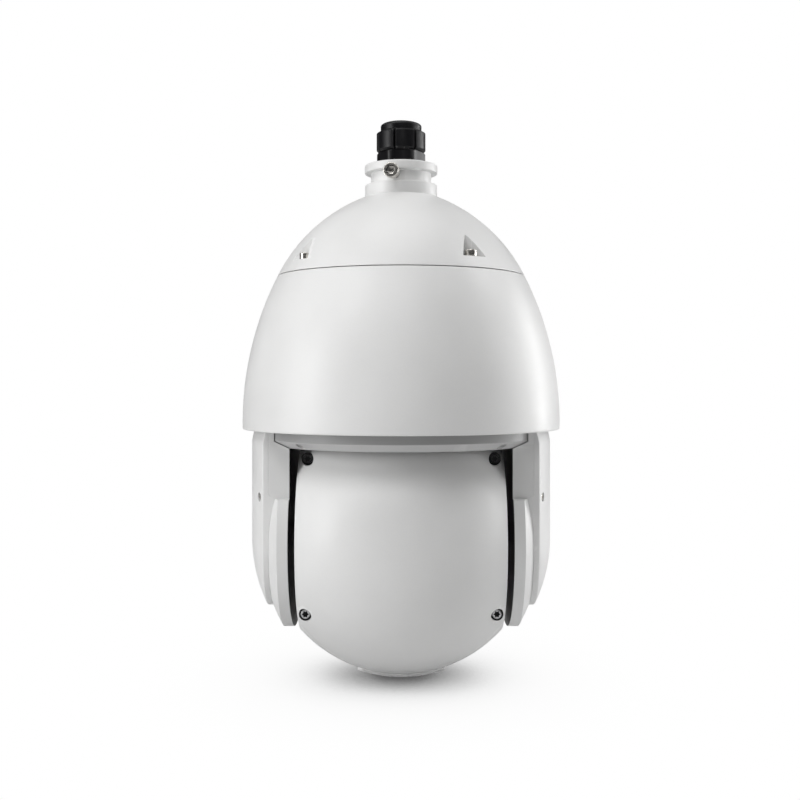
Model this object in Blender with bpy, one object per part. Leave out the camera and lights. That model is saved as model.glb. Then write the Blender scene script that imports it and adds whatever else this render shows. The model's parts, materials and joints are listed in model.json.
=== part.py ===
"""Pendant speed dome camera, built as the assembly it comes apart into.

Units are metres and +Z is up. The origin is on the pan axis, at the foot of the gland's hexagon and
3.6 mm above the neck flange's top face. At rest the lens looks along +Y, level. The pan axis is the Z
axis, and the tilt axis is parallel to X through (0, 0, TILT_Z).
"""

from math import acos, asin, cos, pi, radians, sin, sqrt

import bmesh
import bpy
from mathutils import Vector

# ---------------------------------------------------------------- driving dimensions
GAP = 0.0003             # between neighbouring pieces
WALL = 0.0030            # castings and shells
ARM_SIDES = 48           # of the turned shapes that bound the arms
BIG_SIDES = 28           # sides of the large turned pieces
MID_SIDES = 20
SMALL_SIDES = 12
SCREW_SIDES = 6
DRILL_PHASE = 0.37       # keeps a drill's edges off the edges of what it cuts

# neck and collar
FLANGE_R = 0.0215
FLANGE_TOP = -0.0036
FLANGE_FOOT = -0.0085
GROOVE_R = 0.0178
GROOVE_Z = -0.0151
NECK_R = 0.0213
SPIGOT_R = 0.0145
COLLAR_BORE_R = 0.0100
COLLAR_Z = -0.0220
LOCK_SCREW_Z = -0.0113
LOCK_SCREW_AZIMUTH = radians(-11.5)

# cable gland
GLAND_R = 0.0145
GLAND_LOBES = 7
GLAND_GROOVE_R = 0.0132
GLAND_SEAT_Z = -0.0041    # the gland stands in a shallow recess, so the flange's ring stays free
GLAND_HEX_TOP = 0.0038
GLAND_SHOULDER_Z = 0.0153
GLAND_NOSE_R = 0.0121
GLAND_TURN = radians(10)
GLAND_TOP = 0.0218
CABLE_R = 0.0045

# fixed dome: two tangent arcs, (centre radius, centre height) and arc radius
CAP_CENTRE = (-0.0135, -0.1124)
CAP_ARC_R = 0.0963
PARTING_Z = -0.0697
PARTING_GAP = 0.0004
SIDE_CENTRE = (-0.0970, -0.1550)
SIDE_ARC_R = 0.1900
RIM_Z = -0.1588
CAP_FLANGE_R = 0.0570     # inner edge of the cap's screw flange
CAP_SCREW_R = 0.0655
CAP_SCREW_FLOOR = -0.0632
CAP_SCREW_AZIMUTHS = [radians(-54.7 + 90 * quarter) for quarter in range(4)]
POCKET_APEX_R = 0.0598
POCKET_MOUTH_R = 0.0740
POCKET_HALF_ANGLE = radians(41.6)
SEAL_R = (0.0588, 0.0614)
LEDGE_Z = -0.1040
LEDGE_R = 0.0760

# pan drive
BASE_PLATE_R = 0.0800
BASE_PLATE_T = 0.0037
SPINDLE_R = 0.0200
SPINDLE_BORE_R = 0.0125
SPINDLE_TOP = -0.0920
PAN_BEARING_R = 0.0301
PAN_MOTOR_X = 0.0480
PAN_MOTOR_R = 0.0175
PAN_PULLEY_R = 0.0350
PAN_PINION_R = 0.0070
PAN_BELT_Z = (-0.1270, -0.1210)
BELT_T = 0.0014
BELT_CLEAR = 0.0006

# pan head
TILT_Z = -0.2219
PLATE_R = 0.0815
PLATE_SIDE_Z = -0.1641
PLATE_FACE_R = 0.0740
PLATE_FACE_Z = -0.1683
PLATE_TOP_Z = -0.1500
HUB_R = 0.0300
HUB_TOP = -0.1355
DISH_R = 0.0832
PLATE_SCREW_R = 0.0770

# arms, about the ball's centre
ARM_INNER_X = 0.0618
ARM_HALF_Y = 0.0420
ARM_OUTER_R = 0.0875
ARM_CORE_R = 0.0846
ARM_TOP = 0.0739
COVER_TOP = 0.0699
COVER_SKIRT = 0.0407
BOSS_R = 0.0530
BOSS_SHELF = 0.0255
ARM_CAVITY_Y = 0.0280
ARM_CAVITY_H = (-0.0250, 0.0500)
ARM_CHAMFER = 0.0040
ARM_DISH_X = -0.0226       # centre of the shallow dome that the boss and its cover meet on
ARM_DISH_R = 0.1049
ARM_STEP_H = 0.0220       # above it the strap grows out to the upright cylinder
COVER_SCREW_H = 0.0262
COVER_SCREW_Y = 0.0370

# tilt drive, about the ball's centre
TRUNNION_R = 0.0079
TILT_BEARING_R = 0.0130
TILT_PULLEY_R = 0.0210
TILT_PINION_R = 0.0064
TILT_MOTOR_H = 0.0340
TILT_MOTOR_R = 0.0140
TILT_BELT_X = (0.0725, 0.0780)

# camera ball, about its own centre
BALL_R = 0.0800
BALL_FLAT_X = 0.0580
SEAM_Y = -0.0320
FACE_Y = 0.0620
WINDOW_R = 0.0455
OPENING_R = 0.0463
BARREL_R = 0.0240
BARREL_BORE_R = 0.0205
LEDS = 6
REAR_HEAD_H = {True: 0.0018, False: 0.0024}    # flatter above, where the dish is near
REAR_SCREWS = {  # x, y of the head's seat, height
    "rear_cover_screw_1": (-0.0528, -0.0430, -0.0375),
    "rear_cover_screw_2": (0.0528, -0.0430, -0.0375),
    "rear_cover_screw_3": (-0.0523, -0.0341, 0.0475),
    "rear_cover_screw_4": (0.0523, -0.0341, 0.0475),
}
LIP_R = 0.0818
LIP_HALF_X = 0.0250
LIP_Y = (-0.0240, 0.0400)

# ---------------------------------------------------------------- materials
FINISHES = {  # colour, roughness, metallic
    "white_paint": ((0.80, 0.80, 0.79, 1), 0.45, 0.0),
    "grey_paint": ((0.55, 0.55, 0.55, 1), 0.45, 0.0),
    "black_plastic": ((0.02, 0.02, 0.022, 1), 0.35, 0.0),
    "rubber": ((0.03, 0.03, 0.03, 1), 0.8, 0.0),
    "stainless": ((0.62, 0.60, 0.57, 1), 0.3, 1.0),
    "black_screw": ((0.05, 0.05, 0.05, 1), 0.35, 1.0),
    "aluminium": ((0.70, 0.70, 0.71, 1), 0.4, 1.0),
    "bearing_steel": ((0.60, 0.60, 0.60, 1), 0.25, 1.0),
    "circuit_board": ((0.02, 0.16, 0.07, 1), 0.5, 0.0),
    "glass": ((0.9, 0.93, 0.95, 1), 0.05, 0.0),
}


def finish(name):
    """The material of that name, made the first time that it is asked for."""
    if name in bpy.data.materials:
        return bpy.data.materials[name]
    colour, roughness, metallic = FINISHES[name]
    material = bpy.data.materials.new(name)
    material.use_nodes = True
    shader = material.node_tree.nodes["Principled BSDF"]
    shader.inputs["Base Color"].default_value = colour
    shader.inputs["Roughness"].default_value = roughness
    shader.inputs["Metallic"].default_value = metallic
    return material


# ---------------------------------------------------------------- building tools
def make(name, mesh_source, look, parent, location=(0, 0, 0)):
    """An object from a bmesh. With no look it is a helper that only cuts or joins."""
    bmesh.ops.recalc_face_normals(mesh_source, faces=mesh_source.faces)
    mesh = bpy.data.meshes.new(name)
    mesh_source.to_mesh(mesh)
    mesh_source.free()
    mesh.shade_smooth()
    mesh.set_sharp_from_angle(angle=radians(32))
    obj = bpy.data.objects.new(name, mesh)
    bpy.context.scene.collection.objects.link(obj)
    obj.parent = parent
    obj.location = location
    if look:
        mesh.materials.append(finish(look))
    else:
        obj.hide_render = True
        obj.display_type = "WIRE"
    return obj


def empty(name, parent=None, location=(0, 0, 0)):
    obj = bpy.data.objects.new(name, None)
    bpy.context.scene.collection.objects.link(obj)
    obj.parent = parent
    obj.location = location
    return obj


def arc(centre, radius, start, end, steps):
    """Points of a circle at the right of its centre, from height start to height end."""
    low = asin(max(-1, min(1, (start - centre[1]) / radius)))
    high = asin(max(-1, min(1, (end - centre[1]) / radius)))
    angles = [low + (high - low) * step / steps for step in range(steps + 1)]
    return [(centre[0] + radius * cos(a), centre[1] + radius * sin(a)) for a in angles]


def arc_z(centre, radius, distance):
    """Height of that circle at that distance from the axis."""
    return centre[1] + sqrt(radius**2 - (distance - centre[0]) ** 2)


AXES = {
    "X": lambda r, t, a: (t, r * cos(a), r * sin(a)),
    "Y": lambda r, t, a: (r * cos(a), t, r * sin(a)),
    "Z": lambda r, t, a: (r * cos(a), r * sin(a), t),
}


def turned(
    name, outline, look=None, parent=None, axis="Z", sides=BIG_SIDES, location=(0, 0, 0), phase=0.0,
):
    """A solid of revolution. The outline is a closed loop of (radius, distance along the axis)."""
    shape = bmesh.new()
    rings = []
    for r, t in outline:
        count = sides if r > 1e-7 else 1
        turns = [phase + 2 * pi * i / sides for i in range(count)]
        rings.append([shape.verts.new(AXES[axis](r, t, turn)) for turn in turns])
    for here, there in zip(rings, rings[1:] + rings[:1]):
        for i in range(sides):
            j = (i + 1) % sides
            corners = [here[i % len(here)], here[j % len(here)]]
            corners += [there[j % len(there)], there[i % len(there)]]
            corners = list(dict.fromkeys(corners))
            if len(corners) > 2:
                shape.faces.new(corners)
    return make(name, shape, look, parent, location)


def prism(name, outline, low, high, look=None, parent=None, axis="Z", location=(0, 0, 0)):
    """A straight solid on a closed outline, in XY for axis Z, YZ for X and XZ for Y."""
    lift = {
        "X": lambda u, v, t: (t, u, v),
        "Y": lambda u, v, t: (u, t, v),
        "Z": lambda u, v, t: (u, v, t),
    }[axis]
    shape = bmesh.new()
    ends = [[shape.verts.new(lift(u, v, t)) for u, v in outline] for t in (low, high)]
    shape.faces.new(ends[0])
    shape.faces.new(ends[1])
    for i in range(len(outline)):
        j = (i + 1) % len(outline)
        shape.faces.new([ends[0][i], ends[0][j], ends[1][j], ends[1][i]])
    return make(name, shape, look, parent, location)


def block(name, x, y, z, look=None, parent=None):
    """A box between three (low, high) pairs."""
    corners = [(x[0], y[0]), (x[1], y[0]), (x[1], y[1]), (x[0], y[1])]
    return prism(name, corners, z[0], z[1], look, parent)


def loop_band(name, outer, inner, low, high, look, parent, axis):
    """A closed band, such as a belt, between two outlines with equally many points."""
    lift = (lambda u, v, t: (t, u, v)) if axis == "X" else (lambda u, v, t: (u, v, t))
    shape = bmesh.new()
    rows = [
        [shape.verts.new(lift(u, v, t)) for u, v in outline]
        for outline, t in ((outer, low), (outer, high), (inner, high), (inner, low))
    ]
    for here, there in zip(rows, rows[1:] + rows[:1]):
        for i in range(len(outer)):
            j = (i + 1) % len(outer)
            shape.faces.new([here[i], here[j], there[j], there[i]])
    return make(name, shape, look, parent)


def modify(target, helper, operation):
    modifier = target.modifiers.new(helper.name, "BOOLEAN")
    modifier.operation = operation
    modifier.object = helper
    modifier.solver = "EXACT"


def cut(target, *helpers):
    for helper in helpers:
        modify(target, helper, "DIFFERENCE")


def join(target, *helpers):
    for helper in helpers:
        modify(target, helper, "UNION")


def keep(target, helper):
    modify(target, helper, "INTERSECT")


def compass(azimuth, radius, height=0.0):
    """A point at that azimuth, counted from -Y towards +X."""
    return Vector((radius * sin(azimuth), -radius * cos(azimuth), height))


def aim(obj, direction):
    """Turns a piece made along +Z to that direction."""
    obj.rotation_mode = "QUATERNION"
    obj.rotation_quaternion = Vector(direction).to_track_quat("Z", "Y")


def screw(name, seat, direction, head_r, head_h, shank_r, length, look, parent):
    """A socket screw. The seat is the underside of its head, and direction points out of the head."""
    socket_r = head_r * 0.5
    socket_z = head_h * 0.45
    outline = [
        (0, socket_z), (socket_r, socket_z), (socket_r, head_h), (head_r * 0.92, head_h),
        (head_r, head_h * 0.85), (head_r, 0), (shank_r, 0), (shank_r, -length), (0, -length),
    ]
    obj = turned(name, outline, look, parent, sides=SCREW_SIDES, location=seat)
    aim(obj, direction)
    return obj


def drill(name, seat, direction, parts, parent):
    """A stepped round cutter: (radius, from, to) stretches along direction from the seat."""
    outline = [(0, parts[0][1])]
    for radius, start, end in parts:
        outline += [(radius, start), (radius, end)]
    outline.append((0, parts[-1][2]))
    obj = turned(name, outline, None, parent, sides=SCREW_SIDES + 2, location=seat, phase=DRILL_PHASE)
    aim(obj, direction)
    return obj


def belt_outline(big_r, small_r, distance, steps=9):
    """The taut loop round two circles, the big one at (0, 0) and the small one at (distance, 0)."""
    lean = acos((big_r - small_r) / distance)
    big = [lean + (2 * pi - 2 * lean) * i / (2 * steps) for i in range(2 * steps + 1)]
    small = [-lean + 2 * lean * i / steps for i in range(steps + 1)]
    points = [(big_r * cos(a), big_r * sin(a)) for a in big]
    return points + [(distance + small_r * cos(a), small_r * sin(a)) for a in small]


# ---------------------------------------------------------------- neck and cable gland
def make_collar(base):
    collar = turned(
        "neck_collar",
        [
            (COLLAR_BORE_R, GLAND_SEAT_Z), (0.0150, GLAND_SEAT_Z), (0.0150, FLANGE_TOP),
            (0.0203, FLANGE_TOP), (FLANGE_R, FLANGE_TOP - 0.0010), (FLANGE_R, FLANGE_FOOT),
            (GROOVE_R, FLANGE_FOOT), (GROOVE_R, GROOVE_Z), (SPIGOT_R, GROOVE_Z),
            (SPIGOT_R, COLLAR_Z), (COLLAR_BORE_R, COLLAR_Z),
        ],
        "white_paint", base, sides=MID_SIDES,
    )
    seat = compass(LOCK_SCREW_AZIMUTH, 0.0255, LOCK_SCREW_Z)
    outward = compass(LOCK_SCREW_AZIMUTH, 1)
    screw("collar_lock_screw", seat, outward, 0.00425, 0.0045, 0.0025, 0.0140, "stainless", base)
    cut(collar, drill("lock_screw_hole", seat, outward, [(0.0027, -0.0160, 0.0005)], base))


def make_gland(base):
    hexagon = [(GLAND_R * cos(pi * i / 3), GLAND_R * sin(pi * i / 3)) for i in range(6)]
    body = prism("gland_body", hexagon, GLAND_SEAT_Z + GAP, GLAND_HEX_TOP, "black_plastic", base)
    thread = turned(
        "gland_thread",
        [(0, 0.0115), (0.0100, 0.0115), (0.0100, 0.0020), (0.0096, 0.0010), (0.0096, -0.0140), (0, -0.0140)],
        None, base, sides=SMALL_SIDES,
    )
    bore = turned(
        "gland_bore", [(0, 0.0300), (CABLE_R + 0.0008, 0.0300), (CABLE_R + 0.0008, -0.0200), (0, -0.0200)],
        None, base, sides=SMALL_SIDES,
    )
    join(body, thread)
    cut(body, bore)

    pitch = 2 * pi / GLAND_LOBES
    lobe = pitch * 0.86
    outline = []
    for number in range(GLAND_LOBES):
        middle = number * pitch - pi / 2 + GLAND_TURN
        for part in (-0.5, -0.17, 0.17, 0.5):
            outline.append((GLAND_R * cos(middle + part * lobe), GLAND_R * sin(middle + part * lobe)))
        for part in (0.25, 0.75):
            angle = middle + lobe / 2 + (pitch - lobe) * part
            outline.append((GLAND_GROOVE_R * cos(angle), GLAND_GROOVE_R * sin(angle)))
    nut = prism("gland_nut", outline, GLAND_HEX_TOP + GAP, GLAND_SHOULDER_Z, "black_plastic", base)
    dome = turned(
        "gland_dome",
        [(0, GLAND_TOP), (0.0070, GLAND_TOP), (0.0103, 0.0210), (GLAND_NOSE_R, 0.0195),
         (GLAND_NOSE_R, 0.0140), (0, 0.0140)],
        None, base, sides=MID_SIDES,
    )
    inside = turned(
        "gland_nut_inside",
        [(0, 0.0230), (0.0052, 0.0230), (0.0052, 0.0200), (0.0082, 0.0184), (0.0098, 0.0140),
         (0.0103, 0.0118), (0.0103, 0.0030), (0, 0.0030)],
        None, base, sides=SMALL_SIDES,
    )
    join(nut, dome)
    cut(nut, inside)
    turned(
        "gland_seal",
        [(CABLE_R, 0.0120), (0.0094, 0.0120), (0.0092, 0.0142), (0.0076, 0.0180), (CABLE_R, 0.0184)],
        "rubber", base, sides=SMALL_SIDES,
    )


# ---------------------------------------------------------------- fixed dome
def make_dome(base):
    cap_bottom = PARTING_Z + PARTING_GAP / 2
    inner_arc = CAP_ARC_R - WALL
    inner_top_r = 0.0183
    cap = turned(
        "top_cap",
        [(0.0149, GROOVE_Z - GAP), (NECK_R, GROOVE_Z - GAP)]
        + arc(CAP_CENTRE, CAP_ARC_R, arc_z(CAP_CENTRE, CAP_ARC_R, NECK_R), cap_bottom, 7)
        + [(CAP_FLANGE_R, cap_bottom)]
        + arc(
            CAP_CENTRE, inner_arc, arc_z(CAP_CENTRE, inner_arc, CAP_FLANGE_R),
            arc_z(CAP_CENTRE, inner_arc, inner_top_r), 4,
        )
        + [(0.0149, -0.0245)],
        "white_paint", base,
    )

    housing_top = PARTING_Z - PARTING_GAP / 2
    inner_side = SIDE_ARC_R - WALL
    ring_foot = housing_top - 0.0044
    seal_seat = housing_top - 0.0017
    housing = turned(
        "lower_housing",
        arc(SIDE_CENTRE, SIDE_ARC_R, housing_top, RIM_Z, 5)
        + arc(SIDE_CENTRE, inner_side, RIM_Z, LEDGE_Z, 3)
        + [(LEDGE_R, LEDGE_Z), (LEDGE_R, LEDGE_Z + 0.0035)]
        + arc(SIDE_CENTRE, inner_side, LEDGE_Z + 0.0035, ring_foot, 2)
        + [
            (0.0565, ring_foot), (0.0565, housing_top), (SEAL_R[0] - GAP, housing_top),
            (SEAL_R[0] - GAP, seal_seat), (SEAL_R[1] + GAP, seal_seat), (SEAL_R[1] + GAP, housing_top),
        ],
        "white_paint", base,
    )
    seal_low, seal_high = seal_seat + GAP, cap_bottom - GAP
    turned(
        "dome_seal",
        [(SEAL_R[0], seal_low), (SEAL_R[1], seal_low), (SEAL_R[1], seal_high), (SEAL_R[0], seal_high)],
        "rubber", base,
    )

    for number, azimuth in enumerate(CAP_SCREW_AZIMUTHS, 1):
        mouth = (POCKET_MOUTH_R - POCKET_APEX_R) * sin(POCKET_HALF_ANGLE) / cos(POCKET_HALF_ANGLE)
        corners = [
            compass(azimuth, POCKET_APEX_R),
            compass(azimuth, POCKET_MOUTH_R) + compass(azimuth + pi / 2, mouth),
            compass(azimuth, POCKET_MOUTH_R) - compass(azimuth + pi / 2, mouth),
        ]
        pocket = prism(
            f"cap_pocket_{number}", [(p.x, p.y) for p in corners], CAP_SCREW_FLOOR, -0.0450, None, base,
        )
        seat = compass(azimuth, CAP_SCREW_R, CAP_SCREW_FLOOR)
        hole = drill(
            f"cap_screw_hole_{number}", seat, (0, 0, 1), [(0.0020, -0.0130, 0), (0.0038, 0, 0.0100)], base,
        )
        cut(cap, pocket, hole)
        cut(housing, hole)
        screw(
            f"cap_screw_{number}", seat + Vector((0, 0, GAP)), (0, 0, 1),
            0.0032, 0.0034, 0.0016, 0.0100, "stainless", base,
        )


# ---------------------------------------------------------------- pan drive
def make_pan_drive(base, head):
    plate_low = LEDGE_Z - GAP - BASE_PLATE_T
    plate_high = LEDGE_Z - GAP
    bearing_seat = PAN_BEARING_R + GAP
    plate = turned(
        "base_plate",
        [
            (BASE_PLATE_R, plate_high), (BASE_PLATE_R, plate_low), (0.0345, plate_low), (0.0345, -0.1160),
            (bearing_seat, -0.1160), (bearing_seat, plate_high - 0.0013), (0.0270, plate_high - 0.0013),
            (0.0270, plate_high),
        ],
        "aluminium", base,
    )
    shaft_hole = drill("pan_shaft_hole", (PAN_MOTOR_X, 0, plate_low), (0, 0, 1), [(0.0040, -0.01, 0.01)], base)
    cut(plate, shaft_hole)
    for number, (x, y) in enumerate(((-0.0620, 0.0240), (-0.0620, -0.0240), (-0.0380, 0.0310), (-0.0380, -0.0310))):
        post = turned(
            f"board_post_{number}",
            [(0, -0.0983), (0.0030, -0.0983), (0.0030, plate_high - 0.0010), (0, plate_high - 0.0010)],
            None, base, sides=SCREW_SIDES, location=(x, y, 0),
        )
        join(plate, post)
    turned(
        "pan_bearing",
        [(SPINDLE_R + 0.0004, -0.1140), (PAN_BEARING_R, -0.1140), (PAN_BEARING_R, -0.1060), (SPINDLE_R + 0.0004, -0.1060)],
        "bearing_steel", base, sides=MID_SIDES,
    )
    motor_foot = plate_high + GAP
    turned(
        "pan_motor",
        [
            (0, -0.0800), (PAN_MOTOR_R - 0.0010, -0.0800), (PAN_MOTOR_R, -0.0810), (PAN_MOTOR_R, motor_foot),
            (0.0029, motor_foot), (0.0029, -0.0970), (0, -0.0970),
        ],
        "aluminium", base, sides=MID_SIDES, location=(PAN_MOTOR_X, 0, 0),
    )
    turned(
        "slip_ring",
        [
            (0, -0.0905), (SPINDLE_R - 0.0020, -0.0905), (SPINDLE_R - 0.0020, SPINDLE_TOP + GAP),
            (SPINDLE_BORE_R - 0.0005, SPINDLE_TOP + GAP), (SPINDLE_BORE_R - 0.0005, -0.1240), (0, -0.1240),
        ],
        "black_plastic", base, sides=MID_SIDES,
    )
    bracket = block(
        "slip_ring_bracket", (-0.0080, 0.0080), (-0.0420, 0.0420), (-0.0902, -0.0882), "aluminium", base,
    )
    for number, side in enumerate((-1, 1)):
        ends = sorted((side * 0.0400, side * 0.0420))
        foot = sorted((side * 0.0400, side * 0.0520))
        join(
            bracket,
            block(f"bracket_leg_{number}", (-0.0080, 0.0080), ends, (motor_foot, -0.0885)),
            block(f"bracket_foot_{number}", (-0.0080, 0.0080), foot, (motor_foot, motor_foot + 0.0020)),
        )
    board = block("power_board", (-0.0660, -0.0320), (-0.0360, 0.0360), (-0.0980, -0.0964), "circuit_board", base)
    for number, (x, y, radius, height) in enumerate(
        ((-0.0560, 0.0180, 0.0050, 0.0120), (-0.0440, 0.0240, 0.0040, 0.0100), (-0.0560, -0.0180, 0.0050, 0.0120))
    ):
        join(board, turned(
            f"board_capacitor_{number}",
            [(0, -0.0970 + height), (radius, -0.0970 + height), (radius, -0.0970), (0, -0.0970)],
            None, base, sides=SCREW_SIDES, location=(x, y, 0),
        ))
    join(board, block("board_transformer", (-0.0560, -0.0400), (-0.0090, 0.0090), (-0.0970, -0.0820)))

    belt_low, belt_high = PAN_BELT_Z
    big = belt_outline(PAN_PULLEY_R + BELT_CLEAR + BELT_T, PAN_PINION_R + BELT_CLEAR + BELT_T, PAN_MOTOR_X)
    small = belt_outline(PAN_PULLEY_R + BELT_CLEAR, PAN_PINION_R + BELT_CLEAR, PAN_MOTOR_X)
    loop_band("pan_belt", big, small, belt_low, belt_high, "rubber", base, "Z")

    spindle_foot = HUB_TOP + GAP
    turned(
        "pan_spindle",
        [
            (SPINDLE_BORE_R, SPINDLE_TOP), (SPINDLE_R - 0.0005, SPINDLE_TOP), (SPINDLE_R - 0.0005, -0.1024),
            (0.0240, -0.1024), (0.0240, -0.1055), (SPINDLE_R, -0.1055), (SPINDLE_R, -0.1320),
            (0.0260, -0.1320), (0.0260, spindle_foot), (SPINDLE_BORE_R, spindle_foot),
        ],
        "aluminium", head, sides=MID_SIDES,
    )
    rim = PAN_PULLEY_R + 0.0018
    turned(
        "pan_pulley",
        [
            (SPINDLE_R + GAP, -0.1195), (rim, -0.1195), (rim, belt_high + GAP), (PAN_PULLEY_R, belt_high + GAP),
            (PAN_PULLEY_R, belt_low - GAP), (rim, belt_low - GAP), (rim, -0.1285), (SPINDLE_R + GAP, -0.1285),
        ],
        "black_plastic", head, sides=MID_SIDES,
    )
    pinion_axis = empty("pan_pinion_axis", base, (PAN_MOTOR_X, 0, 0))
    rim = PAN_PINION_R + 0.0018
    turned(
        "pan_motor_pulley",
        [
            (0, -0.0980), (0.0025, -0.0980), (0.0025, -0.1195), (rim, -0.1195), (rim, belt_high + GAP),
            (PAN_PINION_R, belt_high + GAP), (PAN_PINION_R, belt_low - GAP), (rim, belt_low - GAP),
            (rim, -0.1285), (0, -0.1285),
        ],
        "aluminium", pinion_axis, sides=SMALL_SIDES,
    )


# ---------------------------------------------------------------- pan head
def make_pan_plate(head):
    ball = (0, TILT_Z)
    shell_r = DISH_R + WALL + 0.0005
    hub_foot = arc_z(ball, shell_r, HUB_R)
    plate = turned(
        "pan_plate",
        [(PLATE_R, PLATE_TOP_Z), (PLATE_R, PLATE_SIDE_Z), (PLATE_FACE_R, PLATE_FACE_Z)]
        + arc(ball, DISH_R, PLATE_FACE_Z, arc_z(ball, DISH_R, 0.0080), 5)
        + [(0.0080, HUB_TOP), (HUB_R, HUB_TOP)]
        + arc(ball, shell_r, hub_foot, -0.1600, 3)
        + [(0.0730, -0.1600), (0.0730, PLATE_TOP_Z)],
        "grey_paint", head,
    )
    for number in range(4):
        azimuth = radians(45 + 90 * number)
        seat = compass(azimuth, PLATE_SCREW_R, PLATE_FACE_Z + 0.0070)
        hole = drill(
            f"plate_screw_hole_{number}", seat, (0, 0, -1), [(0.0018, -0.0140, 0), (0.0027, 0, 0.0120)], head,
        )
        cut(plate, hole)
        screw(
            f"plate_screw_{number + 1}", seat - Vector((0, 0, GAP)), (0, 0, -1),
            0.0022, 0.0018, 0.0014, 0.0095, "stainless", head,
        )


def arm_core(side_name, kind, side, grow, top, yoke):
    """What a cover closes on: a shallow dome about the tilt axis, and the strap's upright cylinder over it."""
    centre, radius = (ARM_DISH_X, 0), ARM_DISH_R + grow
    reach = 0.0560
    steps = 8
    dome = []
    for i in range(steps + 1):
        r = reach * (1 - i / steps)
        dome.append((r, side * (centre[0] + sqrt(radius**2 - r**2))))
    core = turned(
        f"{side_name}_{kind}_dome", [(0, side * 0.0400), (reach, side * 0.0400)] + dome, None, yoke,
        axis="X", sides=ARM_SIDES,
    )
    strap = turned(
        f"{side_name}_{kind}_cylinder",
        [(0, top), (ARM_CORE_R + grow, top), (ARM_CORE_R + grow, ARM_STEP_H - grow), (0, ARM_STEP_H - grow)],
        None, yoke, sides=ARM_SIDES,
    )
    half = ARM_HALF_Y + 0.0001 + grow
    keep(strap, block(
        f"{side_name}_{kind}_width", sorted((side * 0.0450, side * 0.1000)), (-half, half), (0, 0.1), None, yoke,
    ))
    join(core, strap)
    return core


def envelope(name, radius, yoke, top=0.0800):
    """An upright cylinder on the pan axis whose lower end is a half ball about the tilt axis."""
    return turned(
        name,
        [(0, top), (radius, top), (radius, 0.0001)] + arc((0, 0), radius, -0.0001, -radius, 9),
        None, yoke, sides=ARM_SIDES,
    )


def arm_outline():
    """The arm seen along the tilt axis: a straight strap that ends in a round boss with a flat shelf."""
    shelf_y = sqrt(BOSS_R**2 - BOSS_SHELF**2)
    start = asin(BOSS_SHELF / BOSS_R)
    steps = 20
    sweep = pi + 2 * start
    round_end = [
        (BOSS_R * cos(start - sweep * i / steps), BOSS_R * sin(start - sweep * i / steps))
        for i in range(steps + 1)
    ]
    strap = ARM_HALF_Y
    return (
        [(strap - ARM_CHAMFER, ARM_TOP), (strap, ARM_TOP - ARM_CHAMFER), (strap, BOSS_SHELF)]
        + round_end
        + [(-strap, BOSS_SHELF), (-strap, ARM_TOP - ARM_CHAMFER), (-strap + ARM_CHAMFER, ARM_TOP)]
    )


def cover_outline():
    """The side cover: straight edges over a lower end that is half an ellipse."""
    steps = 16
    skirt = [
        (ARM_HALF_Y * cos(pi * i / steps), -COVER_SKIRT * sin(pi * i / steps)) for i in range(steps + 1)
    ]
    inset = ARM_HALF_Y - ARM_CHAMFER
    return skirt + [
        (-ARM_HALF_Y, COVER_TOP - ARM_CHAMFER), (-inset, COVER_TOP), (inset, COVER_TOP),
        (ARM_HALF_Y, COVER_TOP - ARM_CHAMFER),
    ]


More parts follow.
